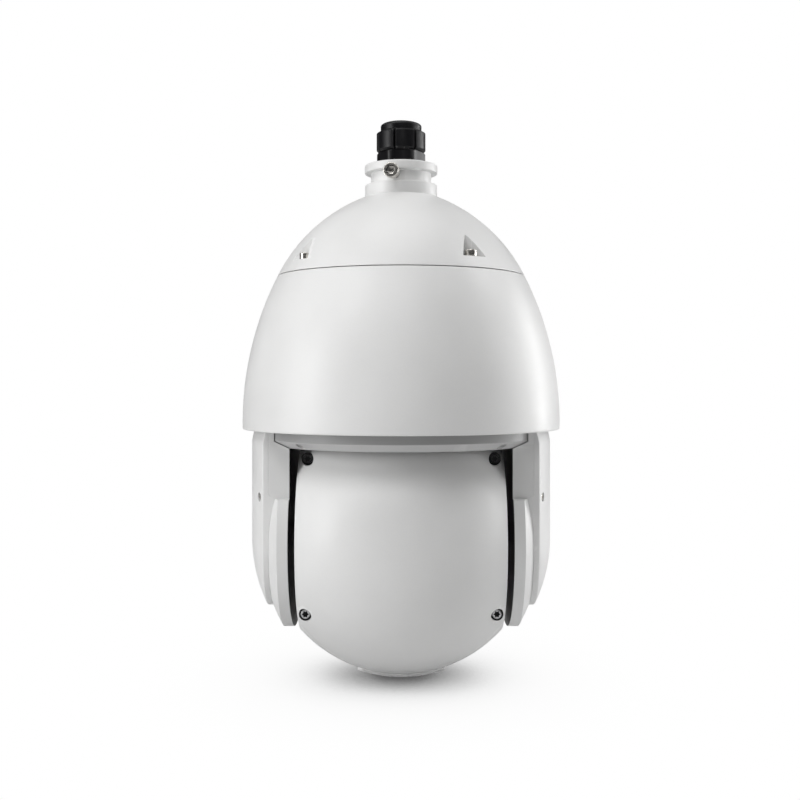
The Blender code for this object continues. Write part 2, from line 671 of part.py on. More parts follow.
def make_arm(side_name, side, yoke):
    """One arm, its cover, and the screws and bearing that belong to it. side is -1 or 1."""

    def along(low, high):
        return sorted((side * low, side * high))

    core = arm_core(side_name, "core", side, 0, 0.0800, yoke)
    housing = prism(
        f"{side_name}_arm_housing", arm_outline(), *along(ARM_INNER_X, 0.0950), "grey_paint", yoke, axis="X",
    )
    keep(housing, core)
    plate_room = turned(
        f"{side_name}_plate_room",
        [
            (0, 0.0900), (PLATE_R + 0.0006, 0.0900), (PLATE_R + 0.0006, PLATE_SIDE_Z - TILT_Z - 0.0004),
            (PLATE_FACE_R + 0.0004, PLATE_FACE_Z - TILT_Z - 0.0004), (0, PLATE_FACE_Z - TILT_Z - 0.0004),
        ],
        None, yoke, sides=ARM_SIDES,
    )
    cavity_y = (-ARM_CAVITY_Y, ARM_CAVITY_Y)
    cavity = block(f"{side_name}_arm_cavity", along(ARM_INNER_X + 0.0032, 0.1000), cavity_y, ARM_CAVITY_H, None, yoke)
    cut(housing, plate_room, cavity)
    boss = turned(
        f"{side_name}_bearing_boss",
        [(r, side * t) for r, t in ((0, 0.0640), (0.0170, 0.0640), (0.0170, 0.0710), (0, 0.0710))],
        None, yoke, axis="X", sides=MID_SIDES,
    )
    seat_r = TILT_BEARING_R + GAP
    bore = turned(
        f"{side_name}_bearing_bore",
        [
            (r, side * t)
            for r, t in ((0, 0.0600), (0.0090, 0.0600), (0.0090, 0.0653), (seat_r, 0.0653), (seat_r, 0.0800), (0, 0.0800))
        ],
        None, yoke, axis="X", sides=MID_SIDES,
    )
    join(housing, boss)
    cut(housing, bore)
    turned(
        f"{side_name}_tilt_bearing",
        [
            (r, side * t)
            for r, t in (
                (TRUNNION_R + 0.0004, 0.0656), (TILT_BEARING_R, 0.0656), (TILT_BEARING_R, 0.0706),
                (TRUNNION_R + 0.0004, 0.0706),
            )
        ],
        "bearing_steel", yoke, axis="X", sides=MID_SIDES,
    )

    cover = prism(
        f"{side_name}_arm_cover", cover_outline(), *along(ARM_INNER_X, 0.0950), "white_paint", yoke, axis="X",
    )
    keep(cover, envelope(f"{side_name}_cover_outside", ARM_OUTER_R, yoke))
    cut(cover, arm_core(side_name, "cover_inside", side, GAP, 0.0850, yoke))
    for end_name, y in (("rear", -COVER_SCREW_Y), ("front", COVER_SCREW_Y)):
        outward = Vector((side * sqrt(ARM_OUTER_R**2 - y**2), y, 0)).normalized()
        seat = outward * (ARM_OUTER_R - 0.0016) + Vector((0, 0, COVER_SCREW_H))
        hole = drill(
            f"{side_name}_{end_name}_cover_hole", seat, outward, [(0.0015, -0.0055, 0), (0.0022, 0, 0.0050)], yoke,
        )
        cut(cover, hole)
        cut(housing, hole)
        screw(
            f"{side_name}_{end_name}_cover_screw", seat + outward * GAP, outward,
            0.0017, 0.0012, 0.0011, 0.0048, "stainless", yoke,
        )


def pulley_outline(bore_r, radius, low, high):
    """A flanged belt pulley, as (radius, distance) from low to high."""
    rim = radius + 0.0015
    cheek = 0.0008
    return [
        (bore_r, low), (rim, low), (rim, low + cheek), (radius, low + cheek),
        (radius, high - cheek), (rim, high - cheek), (rim, high), (bore_r, high),
    ]


def make_tilt_drive(yoke, tilt):
    low, high = TILT_BELT_X
    turned(
        "tilt_motor",
        [
            (0, 0.0655), (TILT_MOTOR_R, 0.0655), (TILT_MOTOR_R, 0.0710), (TILT_MOTOR_R - 0.0008, 0.0718),
            (0.0023, 0.0718), (0.0023, 0.0685), (0, 0.0685),
        ],
        "aluminium", yoke, axis="X", sides=MID_SIDES, location=(0, 0, TILT_MOTOR_H),
    )
    pinion_axis = empty("tilt_pinion_axis", yoke, (0, 0, TILT_MOTOR_H))
    turned(
        "tilt_motor_pulley",
        [(0, 0.0690), (0.0019, 0.0690), (0.0019, low)]
        + pulley_outline(0, TILT_PINION_R, low, high)[1:],
        "aluminium", pinion_axis, axis="X", sides=SMALL_SIDES,
    )
    turned("tilt_pulley", pulley_outline(TRUNNION_R + GAP, TILT_PULLEY_R, low, high),
           "black_plastic", tilt, axis="X", sides=MID_SIDES)
    outside = belt_outline(TILT_PULLEY_R + BELT_CLEAR + BELT_T, TILT_PINION_R + BELT_CLEAR + BELT_T, TILT_MOTOR_H)
    inside = belt_outline(TILT_PULLEY_R + BELT_CLEAR, TILT_PINION_R + BELT_CLEAR, TILT_MOTOR_H)
    upright = [[(-v, u) for u, v in points] for points in (outside, inside)]
    loop_band("tilt_belt", *upright, low + 0.0011, high - 0.0011, "rubber", yoke, "X")


# ---------------------------------------------------------------- camera ball
def flat_sides(name, half_x, tilt):
    """Two blocks that trim a ball to |x| = half_x."""
    return [
        block(f"{name}_{number}", sorted((side * half_x, side * 0.1000)), (-0.1, 0.1), (-0.1, 0.1), None, tilt)
        for number, side in enumerate((-1, 1))
    ]


def make_ball(tilt):
    centre = (0, 0)
    inner_r = BALL_R - WALL
    rear_edge = SEAM_Y - GAP / 2
    front_edge = SEAM_Y + GAP / 2
    trims = flat_sides("ball_flat", BALL_FLAT_X, tilt)
    inner_trims = flat_sides("ball_inner_flat", BALL_FLAT_X - WALL, tilt)
    bosses = [
        drill(f"{name}_boss", (x, 0, height), (0, 1, 0), [(0.0050, -0.0700, y + 0.0255)], tilt)
        for name, (x, y, height) in REAR_SCREWS.items()
    ]

    front = turned(
        "ball_front_shell",
        [(0, front_edge)]
        + arc(centre, BALL_R, front_edge, FACE_Y, 7)
        + [(OPENING_R, FACE_Y), (OPENING_R, FACE_Y - 3 * WALL), (0, FACE_Y - 3 * WALL)],
        "white_paint", tilt, axis="Y",
    )
    lip = turned(
        "ball_lip", [(0.0600, LIP_Y[0])] + arc(centre, LIP_R, *LIP_Y, 4) + [(0.0600, LIP_Y[1])], None, tilt, axis="Y",
    )
    keep(lip, block("ball_lip_width", (-LIP_HALF_X, LIP_HALF_X), (-0.1, 0.1), (-0.1, -0.0600), None, tilt))
    join(front, lip)
    front_hollow = turned(
        "ball_front_hollow",
        [(0, SEAM_Y - 0.0100)] + arc(centre, inner_r, SEAM_Y - 0.0100, FACE_Y - WALL, 5) + [(0, FACE_Y - WALL)],
        None, tilt, axis="Y",
    )
    cut(front_hollow, *inner_trims, *bosses)
    axle_hole = turned(
        "trunnion_hole",
        [(0, -0.0700), (TRUNNION_R + GAP, -0.0700), (TRUNNION_R + GAP, 0.0700), (0, 0.0700)],
        None, tilt, axis="X", sides=MID_SIDES,
    )
    cut(front, *trims, front_hollow, axle_hole)

    rear = turned(
        "ball_rear_cover",
        arc(centre, BALL_R, -BALL_R, rear_edge, 6) + [(0, rear_edge)],
        "white_paint", tilt, axis="Y",
    )
    rear_hollow = turned(
        "ball_rear_hollow",
        arc(centre, inner_r, -inner_r, SEAM_Y + 0.0100, 5) + [(0, SEAM_Y + 0.0100)],
        None, tilt, axis="Y",
    )
    cut(rear_hollow, *inner_trims, *bosses)
    cut(rear, *trims, rear_hollow)

    for name, (x, y, height) in REAR_SCREWS.items():
        hole = drill(
            f"{name}_hole", (x, y, height), (0, -1, 0), [(0.0018, -0.0225, 0), (0.0035, 0, 0.0450)], tilt,
        )
        cut(rear, hole)
        cut(front, hole)
        screw(
            name, (x, y - GAP, height), (0, -1, 0), 0.0031, REAR_HEAD_H[height > 0], 0.0014, 0.0200,
            "black_screw", tilt,
        )

    for side_name, side in (("left", -1), ("right", 1)):
        turned(
            f"{side_name}_trunnion",
            [
                (r, side * t)
                for r, t in (
                    (0.0040, 0.0510), (0.0160, 0.0510), (0.0160, 0.0547), (TRUNNION_R, 0.0547),
                    (TRUNNION_R, 0.0785), (0.0040, 0.0785),
                )
            ],
            "aluminium", tilt, axis="X", sides=MID_SIDES,
        )

    turned(
        "window_bezel",
        [
            (0.0410, 0.0595), (OPENING_R - GAP, 0.0595), (OPENING_R - GAP, FACE_Y + GAP), (0.0495, FACE_Y + GAP),
            (0.0490, 0.0640), (0.0430, 0.0640), (0.0410, 0.0620),
        ],
        "black_plastic", tilt, axis="Y",
    )
    turned(
        "window_glass", [(0, 0.0563), (WINDOW_R, 0.0563), (WINDOW_R, 0.0592), (0, 0.0592)],
        "glass", tilt, axis="Y",
    )


def make_camera_module(tilt):
    turned(
        "lens_barrel",
        [
            (BARREL_BORE_R, 0.0100), (BARREL_R, 0.0100), (BARREL_R, 0.0460), (0.0245, 0.0500),
            (0.0245, 0.0555), (0.0225, 0.0555), (BARREL_BORE_R, 0.0535),
        ],
        "black_plastic", tilt, axis="Y", sides=MID_SIDES,
    )
    lens_r = BARREL_BORE_R - 0.0004
    turned(
        "front_lens",
        [(0, 0.0470), (lens_r, 0.0470), (lens_r, 0.0500), (0.0140, 0.0520), (0.0070, 0.0531), (0, 0.0535)],
        "glass", tilt, axis="Y", sides=MID_SIDES,
    )
    turned(
        "zoom_lens_group",
        [(0, 0.0320), (0.0120, 0.0310), (lens_r, 0.0310), (lens_r, 0.0370), (0.0120, 0.0370), (0, 0.0360)],
        "glass", tilt, axis="Y", sides=MID_SIDES,
    )
    turned(
        "focus_lens_group",
        [(0, 0.0155), (0.0120, 0.0150), (lens_r, 0.0150), (lens_r, 0.0200), (0.0120, 0.0200), (0, 0.0210)],
        "glass", tilt, axis="Y", sides=MID_SIDES,
    )
    block("camera_block", (-0.0270, 0.0270), (-0.0280, 0.0097), (-0.0250, 0.0250), "black_plastic", tilt)
    block("sensor_board", (-0.0240, 0.0240), (-0.0316, -0.0300), (-0.0220, 0.0220), "circuit_board", tilt)
    bracket = block("camera_bracket", (-0.0546, 0.0546), (-0.0160, 0.0080), (-0.0283, -0.0253), "aluminium", tilt)
    for number, side in enumerate((-1, 1)):
        tab = sorted((side * 0.0525, side * 0.0546))
        join(bracket, block(f"bracket_tab_{number}", tab, (-0.0160, 0.0080), (-0.0380, -0.0260), None, tilt))
    board = turned(
        "ir_led_board",
        [(BARREL_R + 0.0010, 0.0400), (0.0420, 0.0400), (0.0420, 0.0416), (BARREL_R + 0.0010, 0.0416)],
        "circuit_board", tilt, axis="Y",
    )
    for number in range(LEDS):
        angle = 2 * pi * number / LEDS
        led = turned(
            f"led_{number}",
            [(0, 0.0410), (0.0045, 0.0410), (0.0045, 0.0450), (0, 0.0480)],
            None, tilt, axis="Y", sides=SCREW_SIDES, location=(0.0340 * cos(angle), 0, 0.0340 * sin(angle)),
        )
        join(board, led)


def main():
    for obj in list(bpy.data.objects):
        bpy.data.objects.remove(obj)
    base = empty("base")
    head = empty("pan_axis", base)
    yoke = empty("yoke", head, (0, 0, TILT_Z))
    tilt = empty("tilt_axis", yoke)

    make_collar(base)
    make_gland(base)
    make_dome(base)
    make_pan_drive(base, head)
    make_pan_plate(head)
    make_arm("left", -1, yoke)
    make_arm("right", 1, yoke)
    make_tilt_drive(yoke, tilt)
    make_ball(tilt)
    make_camera_module(tilt)


main()
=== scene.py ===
"""Looks of the pendant speed dome camera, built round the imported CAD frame.

Units are metres, +Z is up and the lens looks along +Y. The pan axis is the Z axis, and the ball's
centre lies on it at the tilt joint's height.
"""

import json
from math import asin, cos, pi, radians, sin, sqrt

import bmesh
import bpy
from mathutils import Matrix, Vector


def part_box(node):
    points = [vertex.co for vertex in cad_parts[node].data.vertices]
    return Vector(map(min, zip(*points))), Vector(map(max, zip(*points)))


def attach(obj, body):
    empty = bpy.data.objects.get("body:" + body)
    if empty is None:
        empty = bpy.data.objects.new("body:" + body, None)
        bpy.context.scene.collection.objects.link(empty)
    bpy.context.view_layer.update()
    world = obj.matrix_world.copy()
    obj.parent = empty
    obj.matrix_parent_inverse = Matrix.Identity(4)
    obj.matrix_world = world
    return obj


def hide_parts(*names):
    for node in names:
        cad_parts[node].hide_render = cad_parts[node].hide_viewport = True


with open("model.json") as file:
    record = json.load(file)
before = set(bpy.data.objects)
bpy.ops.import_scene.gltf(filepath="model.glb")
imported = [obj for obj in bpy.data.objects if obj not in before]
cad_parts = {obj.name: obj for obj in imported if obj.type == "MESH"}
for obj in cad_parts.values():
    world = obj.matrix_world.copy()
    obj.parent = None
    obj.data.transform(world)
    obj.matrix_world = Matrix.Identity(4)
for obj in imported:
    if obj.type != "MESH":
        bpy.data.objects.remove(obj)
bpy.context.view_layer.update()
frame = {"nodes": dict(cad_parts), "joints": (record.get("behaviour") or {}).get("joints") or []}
joints = {joint["name"]: joint for joint in frame["joints"]}

# ---- sizes, from the frame where it has them
TILT_Z = joints["tilt"]["pos_m"][2]
BALL = Vector((0, 0, TILT_Z))
SIDES = 192               # of a large round piece
FINE = 14                 # steps of the long arcs
PHASE = 0.37              # turns a cutter, so that its edges miss those of what it cuts

FLANGE_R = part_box("neck_collar")[1].x
FLANGE_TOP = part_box("neck_collar")[1].z
FLANGE_FOOT = -0.0085
GROOVE_R = 0.0178
GROOVE_Z = -0.0151
NECK_R = 0.0213
LOCK_AZIMUTH = radians(-11.5)
LOCK_Z = -0.0112
LOCK_HEAD = (0.00435, 0.0045)              # radius and height
LOCK_SOCKET = (0.0027, 0.0024)             # radius and depth

GLAND_R = 0.0145
GLAND_LOBES = 7
GLAND_TURN = radians(10)
GLAND_SHOULDER = 0.0153
GLAND_NOSE_R = 0.0121

CAP_CENTRE = (-0.0135, -0.1124)
CAP_ARC_R = 0.0963
SIDE_CENTRE = (-0.0970, -0.1550)
SIDE_ARC_R = 0.1900
CAP_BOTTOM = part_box("top_cap")[0].z
HOUSING_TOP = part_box("lower_housing")[1].z
RIM_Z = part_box("lower_housing")[0].z
WALL = 0.0030
CAP_SCREWS = 4
CAP_SCREW_R = 0.0655
CAP_SCREW_FLOOR = -0.0632
CAP_SCREW_FIRST = radians(-54.7)
CAP_FLANGE_R = 0.0570
POCKET_APEX_R = 0.0598
POCKET_HALF = radians(41.6)

PLATE_R = 0.0815
PLATE_SIDE_Z = -0.1641
PLATE_FACE_R = 0.0740
PLATE_FACE_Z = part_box("pan_plate")[0].z
DISH_R = 0.0832
PLATE_SCREW_R = 0.0770
PLATE_SCREW_DEPTH = 0.0070

ARM_INNER_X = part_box("right_arm_housing")[0].x
ARM_HALF_Y = 0.0420
ARM_CORNER = 0.0040       # cut off each upper corner
ARM_OUTER_R = 0.0875
ARM_CORE_R = 0.0848
ARM_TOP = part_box("right_arm_housing")[1].z - TILT_Z
COVER_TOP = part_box("right_arm_cover")[1].z - TILT_Z
BOSS_R = 0.0530
BOSS_SHELF = 0.0255
COVER_SKIRT = 0.0407
ARM_DISH_X = -0.0226      # centre of the shallow dome that the boss and its cover meet on
ARM_DISH_R = 0.1049
ARM_STEP_H = 0.0262       # above it the strap grows out to the upright cylinder
COVER_SCREW_H = 0.0262
COVER_SCREW_Y = 0.0370
TAPER = 0.0014            # how far the covers draw in under the dome's rim
TAPER_H = 0.0568
TAPER_SLOPE = 0.23

BALL_R = 0.0800
BALL_FLAT_X = 0.0580
SEAM_Y = -0.0320
FACE_Y = 0.0620
OPENING_R = 0.0463
LIP_RISE = 0.0016
LIP_HALF_X = 0.0250

REAR_HEAD_R = 0.0026
REAR_SOCKET_R = 0.0018
REAR_RING = (0.0027, 0.0036)               # inside and outside radius of a screw's black ring
REAR_HEIGHTS = (0.0024, 0.0024, 0.0018, 0.0018)

LEDS = 6
LED_CIRCLE_R = 0.0340

FLOOR_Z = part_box("ball_front_shell")[0].z - 0.0010
# painted contact shadow: the floor's glow is darkened where it sees less of the sky
FLOOR_TONES = (           # how much of the sky a point of the floor sees, and how bright it shows
    (0.0, 0.06), (0.08, 0.16), (0.15, 0.30), (0.22, 0.47), (0.30, 0.68), (0.38, 0.83), (0.48, 0.92),
    (0.60, 0.97), (0.72, 0.99), (0.82, 1.0),
)
WORLD_LIGHT = 0.05
LIGHT_AIM = (0, 0, -0.17)
HIGH = (1.0, 0.85, 0.60, 0.50)             # stands: distance, height, width and height of the light
STRIP = (1.2, 0.0, 0.25, 0.80)
OVERHEAD = (0.05, 1.20, 0.90, 0.90)
LIGHTS = (                                 # name, azimuth, stand and power
    ("key_high", -45, HIGH, 4.9), ("key", -65, STRIP, 5.9), ("key_side", -80, STRIP, 1.1),
    ("left_high", -90, HIGH, 0.9), ("front_high", 0, HIGH, 3.0), ("top", 0, OVERHEAD, 5.4),
    ("rim", 115, STRIP, 6.5), ("rim_side", 92, STRIP, 2.8), ("rim_high", 90, HIGH, 4.1),
)


# ---- outlines
def corner(before, at, after, radius, steps=5):
    """Points that round one corner of an outline."""
    before, at, after = Vector(before[:2]), Vector(at[:2]), Vector(after[:2])
    into, out = (before - at), (after - at)
    half = max(into.angle(out) / 2, 0.01)
    reach = min(radius * cos(half) / sin(half), 0.48 * into.length, 0.48 * out.length)
    start, end = at + into.normalized() * reach, at + out.normalized() * reach
    if half > radians(88):
        return [tuple(at)]
    points = []
    for step in range(steps + 1):
        t = step / steps
        points.append(tuple(start * (1 - t) ** 2 + at * (2 * t * (1 - t)) + end * t**2))
    return points


def rounded(points, radius=None):
    """A closed outline with its corners rounded: each by its own third number, or all by radius."""
    out = []
    for number, point in enumerate(points):
        size = point[2] if len(point) > 2 else radius
        if size:
            after = points[(number + 1) % len(points)]
            out += corner(points[number - 1], point, after, size)
        else:
            out.append(tuple(point[:2]))
    return out


def arc(centre, radius, start, end, steps=FINE):
    """Points of a circle at the right of its centre, from height start to height end."""
    low = asin(max(-1, min(1, (start - centre[1]) / radius)))
    high = asin(max(-1, min(1, (end - centre[1]) / radius)))
    angles = [low + (high - low) * step / steps for step in range(steps + 1)]
    return [(centre[0] + radius * cos(a), centre[1] + radius * sin(a)) for a in angles]


def arc_z(centre, radius, distance):
    return centre[1] + sqrt(radius**2 - (distance - centre[0]) ** 2)


def divided(points, step):
    """The same closed outline with no stretch longer than step."""
    out = []
    for here, there in zip(points, points[1:] + points[:1]):
        here, there = Vector(here[:2]), Vector(there[:2])
        parts = max(1, round((there - here).length / step))
        out += [tuple(here.lerp(there, part / parts)) for part in range(parts)]
    return out


def inset(points, amount):
    """The outline moved inwards along its normals. It runs anticlockwise or clockwise alike."""
    area = sum(a[0] * b[1] - b[0] * a[1] for a, b in zip(points, points[1:] + points[:1]))
    turn = 1 if area > 0 else -1
    out = []
    for number, here in enumerate(points):
        before, after = points[number - 1], points[(number + 1) % len(points)]
        along = Vector((after[0] - before[0], after[1] - before[1]))
        if along.length < 1e-9:
            out.append(here)
            continue
        normal = Vector((-along.y, along.x)).normalized() * turn * amount
        out.append((here[0] + normal.x, here[1] + normal.y))
    return out


# ---- meshes
def linked(name, data):
    """A new object in the scene."""
    obj = bpy.data.objects.new(name, data)
    bpy.context.scene.collection.objects.link(obj)
    return obj


def piece(name, shape, material, sharp=32):
    """An object from a bmesh, with its normals out and its finish on."""
    bmesh.ops.remove_doubles(shape, verts=shape.verts, dist=1e-7)
    bmesh.ops.recalc_face_normals(shape, faces=shape.faces)
    mesh = bpy.data.meshes.new(name)
    shape.to_mesh(mesh)
    shape.free()
    obj = linked(name, mesh)
    if material:
        mesh.materials.append(material)
    soften(obj, sharp)
    return obj


def soften(obj, sharp=32):
    obj.data.shade_smooth()
    obj.data.set_sharp_from_angle(angle=radians(sharp))


def settle(obj, body, slot, *nodes):
    """The piece rides on its body and stands for its CAD nodes. slot is not used."""
    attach(obj, body)
    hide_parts(*nodes)


def settle_hard(obj, body, slot, *nodes):
    """Settles a hard piece. Its large faces keep their own direction, and only the rounded edges turn."""
    soften(obj)
    modifier = obj.modifiers.new("even_normals", "WEIGHTED_NORMAL")
    modifier.keep_sharp = True
    modifier.weight = 50
    settle(obj, body, slot, *nodes)


def stack(rings, first=None, last=None):
    """A bmesh through rings with equally many points. first and last are end points, or None to loop."""
    shape = bmesh.new()
    rows = [[shape.verts.new(point) for point in ring] for ring in rings]
    pairs = list(zip(rows, rows[1:]))
    if first is None:
        pairs.append((rows[-1], rows[0]))
    for here, there in pairs:
        for i in range(len(here)):
            j = (i + 1) % len(here)
            shape.faces.new([here[i], here[j], there[j], there[i]])
    for point, row in ((first, rows[0]), (last, rows[-1])):
        if point is not None:
            tip = shape.verts.new(point)
            for i in range(len(row)):
                shape.faces.new([row[i], row[(i + 1) % len(row)], tip])
    return shape


PLACES = {
    "X": lambda r, t, a: (t, r * cos(a), r * sin(a)),
    "Y": lambda r, t, a: (r * cos(a), t, r * sin(a)),
    "Z": lambda r, t, a: (r * cos(a), r * sin(a), t),
}


def lathe(outline, axis="Z", sides=SIDES, shape_of=None, centre=(0, 0, 0), phase=0.0):
    """A bmesh of revolution. Outline points at radius 0 become poles. shape_of bends the radius."""
    centre = Vector(centre)
    rings, poles = [], []
    for r, t in outline:
        if r < 1e-7:
            poles.append(centre + Vector(PLACES[axis](0, t, 0)))
            continue
        ring = []
        for i in range(sides):
            a = 2 * pi * i / sides + phase
            reach = shape_of(r, t, a) if shape_of else r
            ring.append(centre + Vector(PLACES[axis](reach, t, a)))
        rings.append(ring)
    if len(poles) == 2:
        return stack(rings, poles[0], poles[1])
    return stack(rings)


def slab(outline, bottom, top, fillet, middle, rows=14):
    """A plate between two surfaces, with rounded edges. bottom and top turn (u, v) into points."""
    middle = Vector(middle)
    steps = 4

    def shrunk(share, points):
        return [tuple(middle + (Vector(point) - middle) * share) for point in points]

    rings = []
    low_edge, high_edge = inset(outline, fillet[0]), inset(outline, fillet[1])
    for row in range(1, rows + 1):
        rings.append([bottom(*p) for p in shrunk(row / rows, low_edge)])
    for step in range(1, steps + 1):
        turn = pi / 2 * step / steps
        edge = inset(outline, fillet[0] * (1 - sin(turn)))
        rise = fillet[0] * (1 - cos(turn))
        rings.append([a + (b - a).normalized() * rise for a, b in ((bottom(*p), top(*p)) for p in edge)])
    for step in range(steps):
        turn = pi / 2 * step / steps
        edge = inset(outline, fillet[1] * (1 - cos(turn)))
        drop = fillet[1] * (1 - sin(turn))
        rings.append([b + (a - b).normalized() * drop for a, b in ((bottom(*p), top(*p)) for p in edge)])
    for row in range(rows, 0, -1):
        rings.append([top(*p) for p in shrunk(row / rows, high_edge)])
    return stack(rings, bottom(*middle), top(*middle))


def settled_mesh(obj):
    """Applies the modifiers that are on the object."""
    graph = bpy.context.evaluated_depsgraph_get()
    mesh = bpy.data.meshes.new_from_object(obj.evaluated_get(graph), depsgraph=graph)
    obj.modifiers.clear()
    obj.data = mesh


def carve(obj, cutters, operation="DIFFERENCE", bevel=0.0, limit=38):
    """Cuts or joins helpers, removes them, and rounds the edges that the cut left sharp."""
    for cutter in cutters:
        modifier = obj.modifiers.new("cut", "BOOLEAN")
        modifier.operation = operation
        modifier.solver = "EXACT"
        modifier.object = cutter
    settled_mesh(obj)
    for cutter in cutters:
        bpy.data.objects.remove(cutter)
    if bevel:
        modifier = obj.modifiers.new("edges", "BEVEL")
        modifier.width = bevel
        modifier.segments = 2
        modifier.limit_method = "ANGLE"
        modifier.angle_limit = radians(limit)
        modifier.use_clamp_overlap = True
        settled_mesh(obj)
    return obj


def helper(shape, name="helper", material=None):
    return piece(name, shape, material)


def box_shape(x, y, z):
    shape = bmesh.new()
    bmesh.ops.create_cube(shape, size=1)
    size = Vector((x[1] - x[0], y[1] - y[0], z[1] - z[0]))
    centre = Vector((x[0] + x[1], y[0] + y[1], z[0] + z[1])) / 2
    bmesh.ops.scale(shape, vec=size, verts=shape.verts)
    bmesh.ops.translate(shape, vec=centre, verts=shape.verts)
    return shape


def compass(azimuth, radius, height=0.0):
    """A point at that azimuth, counted from -Y towards +X."""
    return Vector((radius * sin(azimuth), -radius * cos(azimuth), height))


def turn_to(obj, seat, direction):
    """Turns a piece made along +Z to a direction, and puts its foot on the seat."""
    spin = Vector(direction).to_track_quat("Z", "Y").to_matrix().to_4x4()
    obj.data.transform(Matrix.Translation(seat) @ spin)
    return obj


def hexagon(r, a, share=0.975):
    """Radius of a hexagon with corner radius r, of which its softened corners keep a share."""
    part = (a % (pi / 3)) - pi / 6
    return min(r * cos(pi / 6) / cos(part), r * share)


def hexalobe(r, a):
    """Radius of a six-lobed star recess."""
    return r * (0.86 + 0.14 * cos(6 * a))


def drill(seat, direction, *stretches, sides=48):
    """A stepped round helper along direction. Each stretch is (radius, start, end) from the seat."""
    outline = [(0, stretches[0][1])]
    for radius, start, end in stretches:
        outline += [(radius, start), (radius, end)]
    outline.append((0, stretches[-1][2]))
    return turn_to(helper(lathe(outline, sides=sides, phase=PHASE), "drill"), seat, direction)


def screw_shape(head_r, head_h, shank_r, length, socket_r, socket_depth, socket, dome=0.0, sides=60):
    """A screw along +Z with its seat at 0. socket gives the recess's radius round the axis."""
    edge = min(0.00045, head_h * 0.3)
    angles = [2 * pi * i / sides for i in range(sides)]
    outer = [(shank_r * 0.7, -length), (shank_r, -length + 0.0005), (shank_r, 0.0), (head_r - 0.0001, 0.0)]
    outer += [(head_r, 0.0002), (head_r, head_h - edge)]
    outer += [(head_r - edge * (1 - cos(t)), head_h - edge + edge * sin(t)) for t in (0.5, 1.0, pi / 2)]

    def ring(r, z, bend=lambda r, a: r):
        return [Vector((bend(r, a) * cos(a), bend(r, a) * sin(a), z)) for a in angles]

    rings = [ring(r, z) for r, z in outer]
    rings.append(ring((head_r + socket_r) / 2, head_h + dome * 0.7))
    for share, z in (
        (1.06, head_h + dome), (1, head_h + dome - 0.00015), (1, head_h - socket_depth),
        (0.5, head_h - socket_depth * 1.15),
    ):
        rings.append(ring(socket_r * share, z, socket))
    return stack(rings, Vector((0, 0, -length)), Vector((0, 0, head_h - socket_depth * 1.2)))


def paint_recess_shade(obj, reach, height, floor=0.0002):
    """Paints the faces of a screw's recess above its floor black, as painted shade. reach is its corner
    radius.
    """
    obj.data.materials.append(black_plastic_and_painted_shade)
    for face in obj.data.polygons:
        middle = face.center
        if floor < middle.z < height - 0.00005 and middle.x**2 + middle.y**2 < (reach * 1.04) ** 2:
            face.material_index = 1


def place_screw(node, shape, material, seat, direction, body, slot="stainless", recess=()):
    """A screw in its node's place, its foot on the seat. recess, if given, has the screw's recess painted
    black as painted shade.
    """
    obj = piece(f"{node}_fine", shape, material)
    if recess:
        paint_recess_shade(obj, *recess)
    settle_hard(turn_to(obj, seat, direction), body, slot, node)


# ---- finishes
def blank(name, colour, roughness, metallic=0.0):
    """A Principled material and its node tools."""
    material = bpy.data.materials.new(name)
    material.use_nodes = True
    tree = material.node_tree
    shader = tree.nodes["Principled BSDF"]
    shader.inputs["Base Color"].default_value = (*colour, 1)
    shader.inputs["Roughness"].default_value = roughness
    shader.inputs["Metallic"].default_value = metallic
    place = tree.nodes.new("ShaderNodeTexCoord")
    return material, tree, shader, place.outputs["Object"]


def noise(tree, place, scale, detail, stretch=None):
    """Noise of that many cells a metre, stretched along an axis if asked."""
    if stretch:
        mapping = tree.nodes.new("ShaderNodeMapping")
        mapping.inputs["Scale"].default_value = stretch
        tree.links.new(place, mapping.inputs["Vector"])
        place = mapping.outputs["Vector"]
    texture = tree.nodes.new("ShaderNodeTexNoise")
    texture.inputs["Scale"].default_value = scale
    texture.inputs["Detail"].default_value = detail
    tree.links.new(place, texture.inputs["Vector"])
    return texture.outputs["Fac"]


def spread(tree, value, low, high, start=0.3, end=0.7):
    """The value mapped from start..end to low..high."""
    node = tree.nodes.new("ShaderNodeMapRange")
    for name, number in (("From Min", start), ("From Max", end), ("To Min", low), ("To Max", high)):
        node.inputs[name].default_value = number
    tree.links.new(value, node.inputs["Value"])
    return node.outputs["Result"]


def shade(tree, factor, first, second):
    """A colour between two, by a factor."""
    mix = tree.nodes.new("ShaderNodeMix")
    mix.data_type = "RGBA"
    tree.links.new(factor, mix.inputs["Factor"])
    for socket, colour in ((mix.inputs[6], first), (mix.inputs[7], second)):
        if isinstance(colour, tuple):
            socket.default_value = (*colour, 1)
        else:
            tree.links.new(colour, socket)
    return mix.outputs[2]


def edges(tree, start=0.515, end=0.58, flat=0.0, raised=1.0):
    """1 on sharp outer edges, where a painted highlight goes, and 0 elsewhere."""
    geometry = tree.nodes.new("ShaderNodeNewGeometry")
    return spread(tree, geometry.outputs["Pointiness"], flat, raised, start, end)


def hollows(tree):
    """1 in creases and 0 elsewhere."""
    return edges(tree, 0.42, 0.485, 1.0, 0.0)


def scaled(colour, factor):
    return tuple(min(1, part * factor) for part in colour)


def lifted(colour, amount):
    return tuple(part + amount for part in colour)


def feed(tree, shader, tone, roughness, layers=()):
    """Sets colour, roughness and bump. layers are (height, strength, distance), one over the other."""
    tree.links.new(tone, shader.inputs["Base Color"])
    tree.links.new(roughness, shader.inputs["Roughness"])
    normal = None
    for height, strength, distance in layers:
        bump = tree.nodes.new("ShaderNodeBump")
        bump.inputs["Strength"].default_value = strength
        bump.inputs["Distance"].default_value = distance
        tree.links.new(height, bump.inputs["Height"])
        if normal:
            tree.links.new(normal, bump.inputs["Normal"])
        normal = bump.outputs["Normal"]
    if normal:
        tree.links.new(normal, shader.inputs["Normal"])


